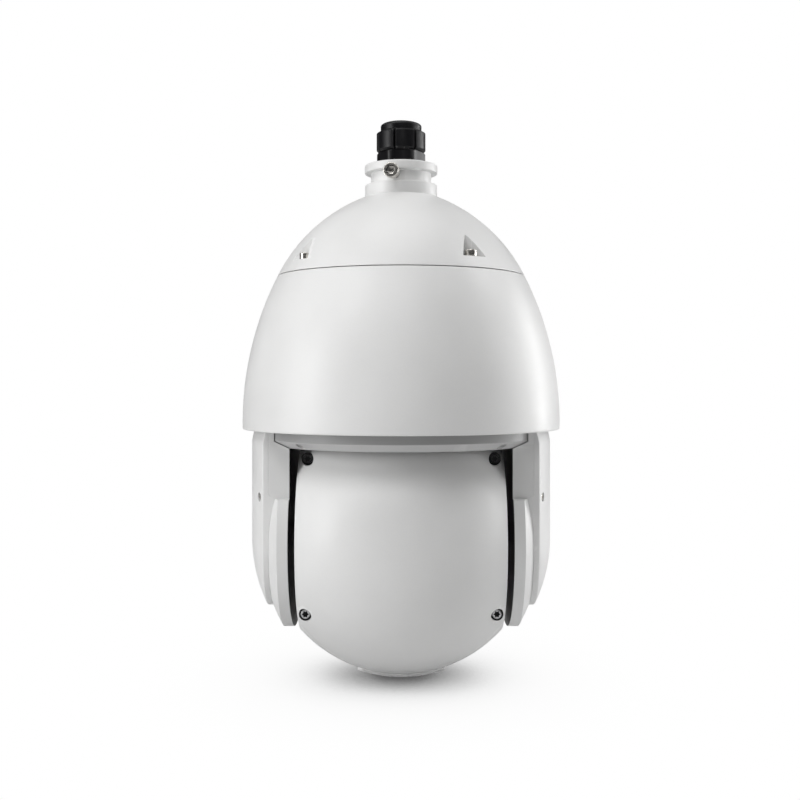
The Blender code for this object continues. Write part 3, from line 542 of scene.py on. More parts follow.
def inside_of(tree, place, half_x):
    """1 nearer the middle plane than half_x, and 0 outside it."""
    split, size, near = (
        tree.nodes.new(kind) for kind in ("ShaderNodeSeparateXYZ", "ShaderNodeMath", "ShaderNodeMath")
    )
    size.operation, near.operation = "ABSOLUTE", "LESS_THAN"
    near.inputs[1].default_value = half_x
    tree.links.new(place, split.inputs["Vector"])
    tree.links.new(split.outputs["X"], size.inputs[0])
    tree.links.new(size.outputs["Value"], near.inputs[0])
    return near.outputs["Value"]


def powder_coat(name, colour, painted_shade_inside=None):
    """Baked powder coat: fine grain, a slow orange-peel wave, dull patches, darker creases and a painted
    highlight on outer edges. Given an x for its last argument, it paints black shade on faces nearer the
    middle plane than that.
    """
    roughness = 0.42
    material, tree, shader, place = blank(name, colour, roughness)
    grain = noise(tree, place, 1500, 3)
    peel = noise(tree, place, 420, 1)
    patches = noise(tree, place, 26, 4)
    darker_tone = scaled(colour, 0.80)
    tone = shade(tree, spread(tree, patches, 0, 1), scaled(colour, 0.955), colour)
    tone = shade(tree, spread(tree, grain, 0.0, 0.10), tone, darker_tone)
    # darker in creases
    tone = shade(tree, hollows(tree), tone, darker_tone)
    # painted highlight on outer edges
    tone = shade(tree, edges(tree), tone, scaled(colour, 1.06))
    # painted shade: faces of the arm nearer the middle plane than the given x are painted black, for the deep
    # shade in the gap by the ball
    if painted_shade_inside:
        tone = shade(tree, inside_of(tree, place, painted_shade_inside), tone, (0.008, 0.008, 0.008))
    shader.inputs["Coat Weight"].default_value = 0.12
    shader.inputs["Coat Roughness"].default_value = 0.35
    feed(tree, shader, tone, spread(tree, patches, roughness - 0.06, roughness + 0.08),
         [(peel, 0.10, 0.00012), (grain, 0.22, 0.00006)])
    return material


def moulded(name, colour, roughness):
    """Moulded nylon: fine spark-eroded texture, scuffs and a painted highlight on its outer edges."""
    material, tree, shader, place = blank(name, colour, roughness)
    grain = noise(tree, place, 2200, 2)
    scuffs = noise(tree, place, 160, 5, (1, 1, 0.2))
    tone = shade(tree, spread(tree, scuffs, 0, 1, 0.55, 0.75), colour, lifted(colour, 0.010))
    # painted highlight on outer edges
    tone = shade(tree, edges(tree), tone, lifted(colour, 0.06))
    shader.inputs["Specular IOR Level"].default_value = 0.28
    feed(tree, shader, tone, spread(tree, scuffs, roughness - 0.08, roughness + 0.14),
         [(grain, 0.25, 0.00005), (scuffs, 0.08, 0.00008)])
    return material


def rubber(name, colour):
    material, tree, shader, place = blank(name, colour, 0.78)
    bloom = noise(tree, place, 90, 4)
    tone = shade(tree, spread(tree, bloom, 0, 1), colour, lifted(colour, 0.025))
    feed(tree, shader, tone, spread(tree, bloom, 0.70, 0.88), [(noise(tree, place, 1300, 4), 0.35, 0.00008)])
    return material


def turned_metal(name, colour, roughness, across=(1, 1, 14), scale=420):
    """Machined or brushed metal: fine lines across one axis, a painted highlight on the edges, faint stains.
    """
    material, tree, shader, place = blank(name, colour, roughness, 1.0)
    lines = noise(tree, place, scale, 3, across)
    stains = noise(tree, place, 120, 4)
    warm = (colour[0] * 0.92, colour[1] * 0.82, colour[2] * 0.66)
    tone = shade(tree, spread(tree, stains, 0, 1), scaled(colour, 0.72), colour)
    tone = shade(tree, spread(tree, stains, 0, 0.35, 0.6, 0.8), tone, warm)
    # painted highlight on outer edges
    tone = shade(tree, edges(tree), tone, scaled(colour, 1.2))
    feed(tree, shader, tone, spread(tree, lines, roughness - 0.08, roughness + 0.10), [(lines, 0.15, 0.00004)])
    return material


def circuit(name, colour):
    """Solder-masked board: copper tracks show as a slightly lighter, raised maze."""
    material, tree, shader, place = blank(name, colour, 0.42)
    tracks = tree.nodes.new("ShaderNodeTexBrick")
    for socket, number in (("Scale", 260), ("Mortar Size", 0.012)):
        tracks.inputs[socket].default_value = number
    for socket, grey in (("Color1", 0), ("Color2", 0.3), ("Mortar", 1)):
        tracks.inputs[socket].default_value = (grey, grey, grey, 1)
    tree.links.new(place, tracks.inputs["Vector"])
    maze = tracks.outputs["Color"]
    lighter = tuple(part * 1.8 + 0.01 for part in colour)
    tone = shade(tree, maze, colour, lighter)
    feed(tree, shader, tone, spread(tree, noise(tree, place, 300, 3), 0.34, 0.52), [(maze, 0.2, 0.00005)])
    return material


def clear_glass(name, tint, roughness=0.02):
    """Toughened window glass with a faint film of dust."""
    material, tree, shader, place = blank(name, tint, roughness)
    shader.inputs["Transmission Weight"].default_value = 1.0
    shader.inputs["IOR"].default_value = 1.5
    film = noise(tree, place, 60, 5)
    tone = shade(tree, spread(tree, film, 0, 1), tint, scaled(tint, 0.96))
    feed(tree, shader, tone, spread(tree, film, roughness, roughness + 0.05),
         [(noise(tree, place, 30, 1), 0.02, 0.00005)])
    return material


def coated_lens(name, tint):
    """A lens front with its coloured anti-reflection coating over dark glass."""
    material, tree, shader, place = blank(name, tint, 0.04)
    tone = shade(tree, spread(tree, noise(tree, place, 55, 2), 0, 1), tint, (0.030, 0.012, 0.040))
    shader.inputs["Coat Weight"].default_value = 1.0
    shader.inputs["Coat Roughness"].default_value = 0.03
    shader.inputs["Specular IOR Level"].default_value = 0.8
    feed(tree, shader, tone, spread(tree, noise(tree, place, 80, 4), 0.02, 0.07))
    return material


white = powder_coat("white_powder_coat", (0.80, 0.80, 0.795))
# the arms' white, with painted black shade on their inner faces by the ball
arm_white = powder_coat("arm_powder_coat", (0.78, 0.78, 0.775), painted_shade_inside=ARM_INNER_X + 0.0001)
plate_grey = powder_coat("plate_powder_coat", (0.55, 0.55, 0.55))
# painted shade: a darker copy of the plate's grey for its side band, which lies in the shade under the dome's
# rim
plate_band_shade = powder_coat("plate_side_powder_coat", (0.38, 0.38, 0.38))
black = moulded("black_nylon", (0.004, 0.004, 0.005), 0.34)
# black lens plastic, also used as painted black shade in screw recesses, under the plate's dish and on the
# shaded upper screws
black_plastic_and_painted_shade = moulded("black_lens_plastic", (0.010, 0.010, 0.011), 0.5)
seal_rubber = rubber("seal_rubber", (0.020, 0.020, 0.021))
stainless = turned_metal("stainless_steel", (0.66, 0.64, 0.60), 0.26)
dark_nickel = turned_metal("dark_nickel_steel", (0.52, 0.52, 0.53), 0.26)
cast_metal = turned_metal("cast_aluminium", (0.66, 0.66, 0.67), 0.42, (1, 1, 1), 700)
ground_steel = turned_metal("ground_steel", (0.60, 0.60, 0.61), 0.22)
board_green = circuit("board_green", (0.015, 0.085, 0.040))
board_black = circuit("board_black", (0.016, 0.017, 0.018))
window_clear = clear_glass("window_glass_clear", (0.93, 0.95, 0.96))
lens_coated = coated_lens("lens_coating", (0.010, 0.014, 0.034))


# ---- neck, lock screw and gland
def make_collar():
    floor = FLANGE_TOP - 0.0005
    outline = rounded([
        (0.0100, floor), (0.0150, floor), (0.0150, FLANGE_TOP, 0.0002), (FLANGE_R, FLANGE_TOP, 0.0009),
        (FLANGE_R, FLANGE_FOOT, 0.0006), (GROOVE_R, FLANGE_FOOT, 0.0005), (GROOVE_R, GROOVE_Z),
        (0.0145, GROOVE_Z), (0.0145, -0.0220), (0.0100, -0.0220),
    ])
    obj = helper(lathe(outline), "neck_collar_skin", white)
    lock = drill(compass(LOCK_AZIMUTH, 0, LOCK_Z), compass(LOCK_AZIMUTH, 1), (0.0026, 0.0095, 0.0260))
    carve(obj, [lock], bevel=0.0002)
    settle_hard(obj, "base", "white_paint", "neck_collar")


def make_lock_screw():
    head_r, head_h = LOCK_HEAD
    socket_r, socket_depth = LOCK_SOCKET
    shape = screw_shape(head_r, head_h, 0.0025, 0.0140, socket_r, socket_depth, hexagon)
    # painted shade: the socket's walls are painted black
    place_screw(
        "collar_lock_screw", shape, stainless, compass(LOCK_AZIMUTH, 0.0255, LOCK_Z), compass(LOCK_AZIMUTH, 1),
        "base", recess=(socket_r, head_h, 0.0026),
    )


def make_gland():
    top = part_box("gland_body")[1].z
    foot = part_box("gland_body")[0].z

    def hex_below(r, t, a):
        """The thread stays round, and what is wider is a hexagon."""
        return r if r < 0.0106 else min(r, hexagon(GLAND_R, a, 0.985))

    hex_top = 0.0038
    outline = rounded([
        (0.0053, -0.0137), (0.0096, -0.0137, 0.0004), (0.0096, foot), (0.0140, foot, 0.0003),
        (GLAND_R, foot + 0.0006), (GLAND_R, hex_top - 0.0007), (0.0136, hex_top, 0.0002), (0.0100, hex_top),
        (0.0100, top, 0.0006), (0.0053, top, 0.0004),
    ])
    obj = piece("gland_body_fine", lathe(outline, shape_of=hex_below, sides=180), black)
    settle_hard(obj, "base", "black_plastic", "gland_body")

    nut_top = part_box("gland_nut")[1].z
    low, shoulder = 0.0041, GLAND_SHOULDER
    pitch = 2 * pi / GLAND_LOBES

    def lobed(r, t, a):
        """Wide grip lobes parted by narrow grooves. Inside the nose nothing changes."""
        core = GLAND_NOSE_R + 0.0002
        if r <= core or t > shoulder + 0.0013:
            return r
        turn = ((a + pi / 2 - GLAND_TURN) / pitch + 0.5) % 1.0 - 0.5
        wall = min(1.0, max(0.0, (0.468 - abs(turn)) / 0.030))
        wall = wall * wall * (3 - 2 * wall)
        crown = r * (1 - 0.004 * (turn / 0.4) ** 2)
        return core + (crown - core) * wall + 0.0003 * (1 - wall)

    nose = [
        (0.0060 + (GLAND_NOSE_R - 0.0060) * cos(t), 0.0195 + (nut_top - 0.0195) * sin(t))
        for t in (pi / 2 * step / 10 for step in range(11))
    ]
    outline = rounded([
        (0.0103, low), (0.0132, low, 0.0002), (GLAND_R, low + 0.0013, 0.0004), (GLAND_R, shoulder, 0.0005),
        (GLAND_NOSE_R, shoulder + 0.0014, 0.0004),
    ]) + nose + rounded([
        (0.0053, nut_top, 0.0004), (0.0053, 0.0200), (0.0082, 0.0184), (0.0098, 0.0140), (0.0103, 0.0118),
    ])
    outline = divided(outline, 0.0007)
    obj = piece("gland_nut_fine", lathe(outline, shape_of=lobed, sides=7 * 64), black, sharp=40)
    settle(obj, "base", "black_plastic", "gland_nut")

    outline = rounded([
        (0.0045, 0.0120, 0.0004), (0.0094, 0.0120), (0.0092, 0.0142), (0.0076, 0.0180),
        (0.0052, 0.0194, 0.0004), (0.0045, 0.0190, 0.0004),
    ])
    obj = piece("gland_seal_fine", lathe(outline, sides=96), seal_rubber)
    settle(obj, "base", "rubber", "gland_seal")


# ---- fixed dome
def cap_pocket(azimuth):
    """A wedge-shaped pocket with a rounded point, open down the dome's side."""
    apex, mouth = POCKET_APEX_R, 0.0760
    wide = (mouth - apex) * sin(POCKET_HALF) / cos(POCKET_HALF)
    plan = rounded([(apex, 0.0, 0.0015), (mouth, wide), (mouth, -wide)])
    ends = [
        [compass(azimuth, r, z) + compass(azimuth + pi / 2, side) for r, side in plan]
        for z in (CAP_SCREW_FLOOR, -0.0450)
    ]
    middle = compass(azimuth, (apex + mouth) / 2)
    return stack(ends, middle + Vector((0, 0, CAP_SCREW_FLOOR)), middle + Vector((0, 0, -0.0450)))


def make_dome():
    inner = CAP_ARC_R - WALL
    outline = rounded([
        (0.0149, GROOVE_Z - 0.0003), (NECK_R, GROOVE_Z - 0.0003, 0.0006),
        (NECK_R, arc_z(CAP_CENTRE, CAP_ARC_R, NECK_R), 0.0008), (0.0223, arc_z(CAP_CENTRE, CAP_ARC_R, 0.0223)),
    ])
    outline += arc(CAP_CENTRE, CAP_ARC_R, arc_z(CAP_CENTRE, CAP_ARC_R, 0.0230), CAP_BOTTOM + 0.0010, 40)
    outline += corner(
        outline[-1], arc(CAP_CENTRE, CAP_ARC_R, CAP_BOTTOM, CAP_BOTTOM, 1)[0], (0.0650, CAP_BOTTOM), 0.0006,
    )
    outline += [(CAP_FLANGE_R, CAP_BOTTOM)]
    ends = (arc_z(CAP_CENTRE, inner, r) for r in (CAP_FLANGE_R, 0.0183))
    outline += arc(CAP_CENTRE, inner, *ends, 20)
    outline += [(0.0149, -0.0245)]
    cap = helper(lathe(outline), "top_cap_skin", white)
    azimuths = [CAP_SCREW_FIRST + number * 2 * pi / CAP_SCREWS for number in range(CAP_SCREWS)]
    cutters = []
    for azimuth in azimuths:
        seat = compass(azimuth, CAP_SCREW_R, CAP_SCREW_FLOOR)
        cutters.append(helper(cap_pocket(azimuth)))
        cutters.append(drill(seat, (0, 0, 1), (0.0020, -0.0100, 0.0), (0.0038, 0.0, 0.0100), sides=40))
    carve(cap, cutters, bevel=0.00025)
    settle_hard(cap, "base", "white_paint", "top_cap")

    for number, azimuth in enumerate(azimuths, 1):
        seat = compass(azimuth, CAP_SCREW_R, CAP_SCREW_FLOOR + 0.0003)
        shape = screw_shape(0.0032, 0.0034, 0.0016, 0.0100, 0.0016, 0.0018, hexagon)
        place_screw(f"cap_screw_{number}", shape, stainless, seat, (0, 0, 1), "base")

    ledge = -0.1040
    inner = SIDE_ARC_R - WALL
    top = arc(SIDE_CENTRE, SIDE_ARC_R, HOUSING_TOP, HOUSING_TOP, 1)[0]
    rim = arc(SIDE_CENTRE, SIDE_ARC_R, RIM_Z, RIM_Z, 1)[0]
    foot = arc(SIDE_CENTRE, inner, RIM_Z, RIM_Z, 1)[0]
    side = arc(SIDE_CENTRE, SIDE_ARC_R, HOUSING_TOP - 0.002, -0.1, 1)[0]
    outline = corner((0.0650, HOUSING_TOP), top, side, 0.0010)
    outline += arc(SIDE_CENTRE, SIDE_ARC_R, HOUSING_TOP - 0.0014, RIM_Z + 0.0020, 48)
    outline += corner(outline[-1], rim, foot, 0.0012)
    outline += corner(rim, foot, arc(SIDE_CENTRE, inner, RIM_Z + 0.01, -0.1, 1)[0], 0.0008)
    outline += arc(SIDE_CENTRE, inner, RIM_Z + 0.0020, ledge, 16)
    outline += [(0.0760, ledge), (0.0760, ledge + 0.0035)]
    outline += arc(SIDE_CENTRE, inner, ledge + 0.0035, HOUSING_TOP - 0.0044, 8)
    outline += [
        (0.0565, HOUSING_TOP - 0.0044), (0.0565, HOUSING_TOP), (0.0585, HOUSING_TOP),
        (0.0585, HOUSING_TOP - 0.0017), (0.0617, HOUSING_TOP - 0.0017), (0.0617, HOUSING_TOP),
    ]
    obj = piece("lower_housing_skin", lathe(outline), white)
    settle_hard(obj, "base", "white_paint", "lower_housing")


# ---- pan plate
def make_plate():
    ball = (0, TILT_Z)
    shell_r = DISH_R + 0.0035
    hub_r, hub_top = 0.0300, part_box("pan_plate")[1].z
    outline = rounded([
        (0.0730, -0.1500, 0.0004), (PLATE_R, -0.1500, 0.0006), (PLATE_R, PLATE_SIDE_Z, 0.0007),
        (PLATE_FACE_R, PLATE_FACE_Z, 0.0005), arc(ball, DISH_R, PLATE_FACE_Z, PLATE_FACE_Z, 1)[0],
    ])[:-1]
    outline += arc(ball, DISH_R, PLATE_FACE_Z + 0.0004, arc_z(ball, DISH_R, 0.0080), 40)
    outline += [(0.0080, hub_top), (hub_r, hub_top)]
    outline += arc(ball, shell_r, arc_z(ball, shell_r, hub_r), -0.1600, 20) + [(0.0730, -0.1600)]
    plate = helper(lathe(outline), "pan_plate_skin", plate_grey)
    holes = []
    for number in range(4):
        azimuth = radians(45 + 90 * number)
        seat = compass(azimuth, PLATE_SCREW_R, PLATE_FACE_Z + PLATE_SCREW_DEPTH)
        holes.append(drill(seat, (0, 0, -1), (0.0018, -0.0150, 0.0), (0.0027, 0.0, 0.0130)))
        shape = screw_shape(0.0022, 0.0018, 0.0014, 0.0095, 0.0011, 0.0010, hexalobe, 0.0002)
        foot = seat - Vector((0, 0, 0.0003))
        place_screw(f"plate_screw_{number + 1}", shape, stainless, foot, (0, 0, -1), "pan_unit")
    carve(plate, holes, bevel=0.0002)
    plate.data.materials.append(plate_band_shade)
    plate.data.materials.append(black_plastic_and_painted_shade)
    for face in plate.data.polygons:
        middle = face.center
        # painted shade: the dish faces over the ball are painted black
        if abs((middle - BALL).length - DISH_R) < 0.0006 and middle.z > PLATE_FACE_Z + 0.0002:
            face.material_index = 2
        # painted shade: the side band under the dome's rim takes the darker grey
        elif middle.z > PLATE_SIDE_Z and sqrt(middle.x**2 + middle.y**2) > PLATE_R - 0.0008:
            face.material_index = 1
    settle_hard(plate, "pan_unit", "grey_paint", "pan_plate")


# ---- arms
def arm_x(radius, y, h):
    """How far out the upright cylinder of that radius is, or below the tilt axis the ball."""
    drop = min(h, 0)
    return sqrt(radius**2 - y**2 - drop**2)


def dish_x(y, h, lift):
    """How far out the shallow dome is that the boss and its cover meet on."""
    return ARM_DISH_X + sqrt((ARM_DISH_R + lift) ** 2 - y**2 - h**2)


def core_x(y, h, lift):
    """The housing's outer face: the dome on the boss, and the upright cylinder on the strap over it."""
    low = dish_x(y, h, lift)
    high = arm_x(ARM_CORE_R + lift, y, h)
    step = max(0.0, min(1.0, (h - ARM_STEP_H) / 0.0006 + 0.5))
    return low + (high - low) * step if high > low else low


def arm_plan():
    """The arm along the tilt axis: a strap that ends in a round boss with a flat shelf, as (y, h)."""
    shelf_y = sqrt(BOSS_R**2 - BOSS_SHELF**2)
    start = asin(BOSS_SHELF / BOSS_R)
    steps = 72
    sweep = pi + 2 * start
    turns = [start - sweep * i / steps for i in range(steps + 1)]
    boss = [(BOSS_R * cos(turn), BOSS_R * sin(turn)) for turn in turns]
    half = ARM_HALF_Y
    strap_side = [
        (half - ARM_CORNER, ARM_TOP, 0.0010), (half, ARM_TOP - ARM_CORNER, 0.0010), (half, BOSS_SHELF, 0.0006),
    ]
    other_side = [(-y, h, fillet) for y, h, fillet in reversed(strap_side)]
    shelf_end = (shelf_y, BOSS_SHELF, 0.0014)
    points = strap_side + [shelf_end] + boss[1:-1] + [(-shelf_y, BOSS_SHELF, 0.0014)] + other_side
    return divided(rounded(points), 0.0020)


def cover_plan():
    """The side cover: straight edges over a lower end that is half an ellipse, as (y, h)."""
    steps = 60
    skirt = [(ARM_HALF_Y * cos(pi * i / steps), -COVER_SKIRT * sin(pi * i / steps)) for i in range(steps + 1)]
    half = ARM_HALF_Y
    top = [
        (-half, COVER_TOP - ARM_CORNER, 0.0010), (ARM_CORNER - half, COVER_TOP, 0.0010),
        (half - ARM_CORNER, COVER_TOP, 0.0010), (half, COVER_TOP - ARM_CORNER, 0.0010),
    ]
    return divided(rounded(skirt + top), 0.0020)


def make_arm(name, side):
    def inner(y, h):
        return Vector((side * ARM_INNER_X, y, h + TILT_Z))

    def outer(y, h):
        lean = min(max(h - TAPER_H, 0) * TAPER_SLOPE, TAPER)
        return Vector((side * arm_x(ARM_OUTER_R - lean, y, h), y, h + TILT_Z))

    def across(outline):
        """A helper turned about the tilt axis."""
        points = [(r, side * t) for r, t in outline]
        return helper(lathe(points, "X", 96, centre=(0, 0, TILT_Z), phase=PHASE))

    def core(lift):
        return lambda y, h: Vector((side * core_x(y, h, lift), y, h + TILT_Z))

    housing = helper(
        slab(arm_plan(), inner, core(0), (0.0004, 0.0001), (0.0013, 0.0027), rows=30),
        f"{name}_arm_housing_skin", arm_white,
    )
    room_r = PLATE_R + 0.0006
    room = [
        (0, -0.1300), (room_r, -0.1300), (room_r, PLATE_SIDE_Z - 0.0004),
        (PLATE_FACE_R + 0.0004, PLATE_FACE_Z - 0.0004), (0, PLATE_FACE_Z - 0.0004),
    ]
    reach = sorted((side * (ARM_INNER_X + 0.0032), side * 0.1000))
    cavity = box_shape(reach, (-0.0280, 0.0280), (TILT_Z - 0.0250, TILT_Z + 0.0500))
    bore = [(0, 0.0600), (0.0090, 0.0600), (0.0090, 0.0653), (0.0133, 0.0653), (0.0133, 0.0800), (0, 0.0800)]

    cover = helper(
        slab(cover_plan(), core(0.00008), outer, (0.0001, 0.0005), (0, 0.0150), rows=40),
        f"{name}_arm_cover_skin", white,
    )
    cutters, cover_cutters = [], []
    for end_name, y in (("rear", -COVER_SCREW_Y), ("front", COVER_SCREW_Y)):
        outward = Vector((side * arm_x(ARM_OUTER_R, y, COVER_SCREW_H), y, 0)).normalized()
        seat = outward * (ARM_OUTER_R - 0.0016) + Vector((0, 0, COVER_SCREW_H + TILT_Z))
        cutters.append(drill(seat, outward, (0.0015, -0.0055, 0.0060), sides=24))
        cover_cutters.append(drill(seat, outward, (0.0015, -0.0055, 0.0), (0.0026, 0.0, 0.0050), sides=32))
        shape = screw_shape(0.0021, 0.0008, 0.0011, 0.0048, 0.0010, 0.0006, hexalobe, 0.0001, 48)
        node = f"{name}_{end_name}_cover_screw"
        place_screw(node, shape, stainless, seat + outward * 0.0003, outward, "pan_unit")
    carve(housing, [helper(lathe(room)), *cutters, helper(cavity)])
    carve(housing, [across([(0, 0.0640), (0.0170, 0.0640), (0.0170, 0.0710), (0, 0.0710)])], "UNION")
    carve(housing, [across(bore)], bevel=0.0003)
    carve(cover, cover_cutters, bevel=0.0002, limit=50)
    for obj, slot, node in ((housing, "grey_paint", "housing"), (cover, "white_paint", "cover")):
        settle_hard(obj, "pan_unit", slot, f"{name}_arm_{node}")


# ---- camera ball
def ball_outline(radius, flat_x, fillet):
    """A ball with two flat sides, as (radius, x), to be turned about the X axis."""
    angle = asin(flat_x / radius)
    edge = (radius * cos(angle), radius * sin(angle))
    back = 2.2 * fillet / radius
    steps = 96
    body = []
    for step in range(steps + 1):
        turn = (angle - back) * (1 - 2 * step / steps)
        body.append((radius * cos(turn), radius * sin(turn)))
    top = corner((0, edge[1]), edge, body[0], fillet, 6)
    bottom = [(r, -x) for r, x in reversed(top)]
    flat = [(edge[0] * share, edge[1]) for share in (0.25, 0.5, 0.75, 0.9)]
    far_flat = [(r, -x) for r, x in reversed(flat)]
    return [(0, edge[1]), *flat, *top, *body, *bottom, *far_flat, (0, -edge[1])]


def make_ball():
    gap = 0.0003
    middle = tuple(BALL)
    outside = ball_outline(BALL_R, BALL_FLAT_X, 0.0012)
    inside = ball_outline(BALL_R - WALL, BALL_FLAT_X - WALL, 0.0010)

    def solid(outline, *finish):
        return helper(lathe(outline, "X", centre=middle), *finish)

    def room(low_y, high_y, half=0.1):
        return helper(box_shape((-half, half), (low_y, high_y), (TILT_Z - half, TILT_Z + half)))

    def bore(radius, low, high, axis, sides):
        outline = [(0, low), (radius, low), (radius, high), (0, high)]
        return helper(lathe(outline, axis, sides, centre=middle, phase=PHASE))

    def seat_of(number, height):
        low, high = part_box(f"rear_cover_screw_{number}")
        return Vector(((low.x + high.x) / 2, low.y + height + gap, (low.z + high.z) / 2))

    seats = [seat_of(number, height) for number, height in enumerate(REAR_HEIGHTS, 1)]

    def shell(name, joined, kept, hollowed, cutters, bevel):
        """One half of the ball. kept and hollowed are how far its outside and its inside reach."""
        obj = solid(outside, f"{name}_skin", white)
        if joined:
            carve(obj, joined, "UNION")
        hollow = solid(inside)
        carve(hollow, [room(*hollowed)], "INTERSECT")
        carve(hollow, [drill(seat, (0, 1, 0), (0.0050, -0.0700, 0.0255), sides=32) for seat in seats])
        holes = [drill(seat, (0, -1, 0), (0.0018, -0.0225, 0.0), (0.0037, 0.0, 0.0450)) for seat in seats]
        carve(obj, [room(*kept)], "INTERSECT")
        return carve(obj, [hollow, *holes, *cutters], bevel=bevel)

    lip_r = BALL_R + LIP_RISE
    lip_plan = rounded([
        (-LIP_HALF_X, -0.0240), (LIP_HALF_X, -0.0240), (LIP_HALF_X, 0.0400), (-LIP_HALF_X, 0.0400),
    ], 0.0040)

    def under(radius):
        def place(x, y):
            return Vector((x, y, TILT_Z - sqrt(radius**2 - x**2 - y**2)))
        return place

    lip = helper(slab(
        divided(lip_plan, 0.0025), under(BALL_R - 0.0015), under(lip_r), (0.0002, 0.0006), (0, 0.0080),
    ))
    lens_hole = bore(OPENING_R, 0.0300, 0.0900, "Y", SIDES)
    axle = bore(0.0082, -0.0700, 0.0700, "X", 64)
    front = shell(
        "ball_front", [lip], (SEAM_Y + gap / 2, FACE_Y), (SEAM_Y - 0.0100, FACE_Y - WALL),
        [axle, lens_hole], 0.0003,
    )
    settle_hard(front, "camera_ball", "white_paint", "ball_front_shell")
    rear = shell("ball_rear", [], (-0.1, SEAM_Y - gap / 2), (-0.1, SEAM_Y + 0.0100), [], 0.00035)
    settle_hard(rear, "camera_ball", "white_paint", "ball_rear_cover")

    for number, (seat, height) in enumerate(zip(seats, REAR_HEIGHTS), 1):
        node = f"rear_cover_screw_{number}"
        # painted shade: the upper screws, which lie in the plate's shadow, are made all black instead of
        # nickel
        metal = black_plastic_and_painted_shade if seat.z > TILT_Z else dark_nickel
        foot = seat - Vector((0, gap, 0))
        shape = screw_shape(
            REAR_HEAD_R, height, 0.0014, 0.0200, REAR_SOCKET_R, height * 0.6, hexalobe, 0.0001, 72,
        )
        # painted shade: the socket is painted black
        recess = (REAR_SOCKET_R, height)
        place_screw(node, shape, metal, foot, (0, -1, 0), "camera_ball", "black_screw", recess)
        near, far = REAR_RING
        top = height - 0.0001
        ring = rounded([(near, 0.0), (far, 0.0), (far, top, 0.0003), (near, top, 0.0001)])
        obj = turn_to(piece(f"{node}_flange", lathe(ring, sides=72), black_plastic_and_painted_shade), foot, (0, -1, 0))
        settle(obj, "camera_ball", "black_screw", node)


# ---- window and camera module
def about_lens(name, outline, material, sides=SIDES):
    """A piece turned about the lens axis. Its outline is (radius, distance in front of the tilt axis)."""
    return piece(name, lathe(rounded(outline), "Y", sides, centre=tuple(BALL)), material)


def curved(height, rim_y, edge_r):
    """Points of a shallow lens surface, from the middle to its edge."""
    steps = 12
    radius = (edge_r**2 + height**2) / (2 * height)
    return [
        (edge_r * i / steps, rim_y + (sqrt(radius**2 - (edge_r * i / steps) ** 2) - radius + height))
        for i in range(steps + 1)
    ]


def make_window():
    hidden_r = OPENING_R - 0.0003
    lip_y = FACE_Y + 0.0003
    bezel = about_lens("window_bezel_fine", [
        (0.0410, 0.0595, 0.0002), (hidden_r, 0.0595, 0.0002), (hidden_r, lip_y), (0.0495, lip_y, 0.0002),
        (0.0490, 0.0640, 0.0008), (0.0478, 0.0640, 0.0002), (0.0474, 0.0636, 0.0002), (0.0466, 0.0636, 0.0002),
        (0.0462, 0.0640, 0.0002), (0.0430, 0.0640, 0.0008), (0.0410, 0.0620, 0.0005),
    ], black)
    settle_hard(bezel, "camera_ball", "black_plastic", "window_bezel")
    pane = about_lens("window_glass_fine", [
        (0, 0.0563), (0.0455, 0.0563, 0.0003), (0.0455, 0.0592, 0.0003), (0, 0.0592),
    ], window_clear)
    settle(pane, "camera_ball", "glass", "window_glass")


def make_lenses():
    bore = 0.0205
    barrel = about_lens("lens_barrel_fine", [
        (bore, 0.0100), (0.0240, 0.0100, 0.0004), (0.0240, 0.0180, 0.0002), (0.0234, 0.0184, 0.0002),
        (0.0234, 0.0204, 0.0002), (0.0240, 0.0208, 0.0002), (0.0240, 0.0330, 0.0002), (0.0234, 0.0334, 0.0002),
        (0.0234, 0.0354, 0.0002), (0.0240, 0.0358, 0.0002), (0.0240, 0.0460, 0.0004), (0.0245, 0.0500, 0.0004),
        (0.0245, 0.0555, 0.0005), (0.0228, 0.0555, 0.0003), (0.0222, 0.0549, 0.0001), (0.0218, 0.0549, 0.0001),
        (0.0216, 0.0543, 0.0001), (0.0212, 0.0543, 0.0001), (0.0210, 0.0537, 0.0001), (bore, 0.0537, 0.0002),
    ], black_plastic_and_painted_shade)
    settle_hard(barrel, "camera_ball", "black_plastic", "lens_barrel")
    lens_r = bore - 0.0004
    front = curved(0.0035, 0.0500, lens_r - 0.0006) + [(lens_r, 0.0499), (lens_r, 0.0470), (0, 0.0470)]
    obj = about_lens("front_lens_fine", front, lens_coated, 128)
    settle(obj, "camera_ball", "glass", "front_lens")
    for name, body, low, high in (
        ("zoom_lens_group", "zoom_group", 0.0310, 0.0370), ("focus_lens_group", "focus_group", 0.0150, 0.0200),
    ):
        glass_r = lens_r - 0.0030
        face = curved(0.0010, high - 0.0002, glass_r) + [(glass_r, high), (lens_r, high, 0.0003)]
        back = [(lens_r, low, 0.0003), (glass_r, low), *reversed(curved(0.0006, low, glass_r)[:-1])]
        obj = about_lens(f"{name}_fine", face + back, lens_coated, 96)
        settle(obj, body, "glass", name)


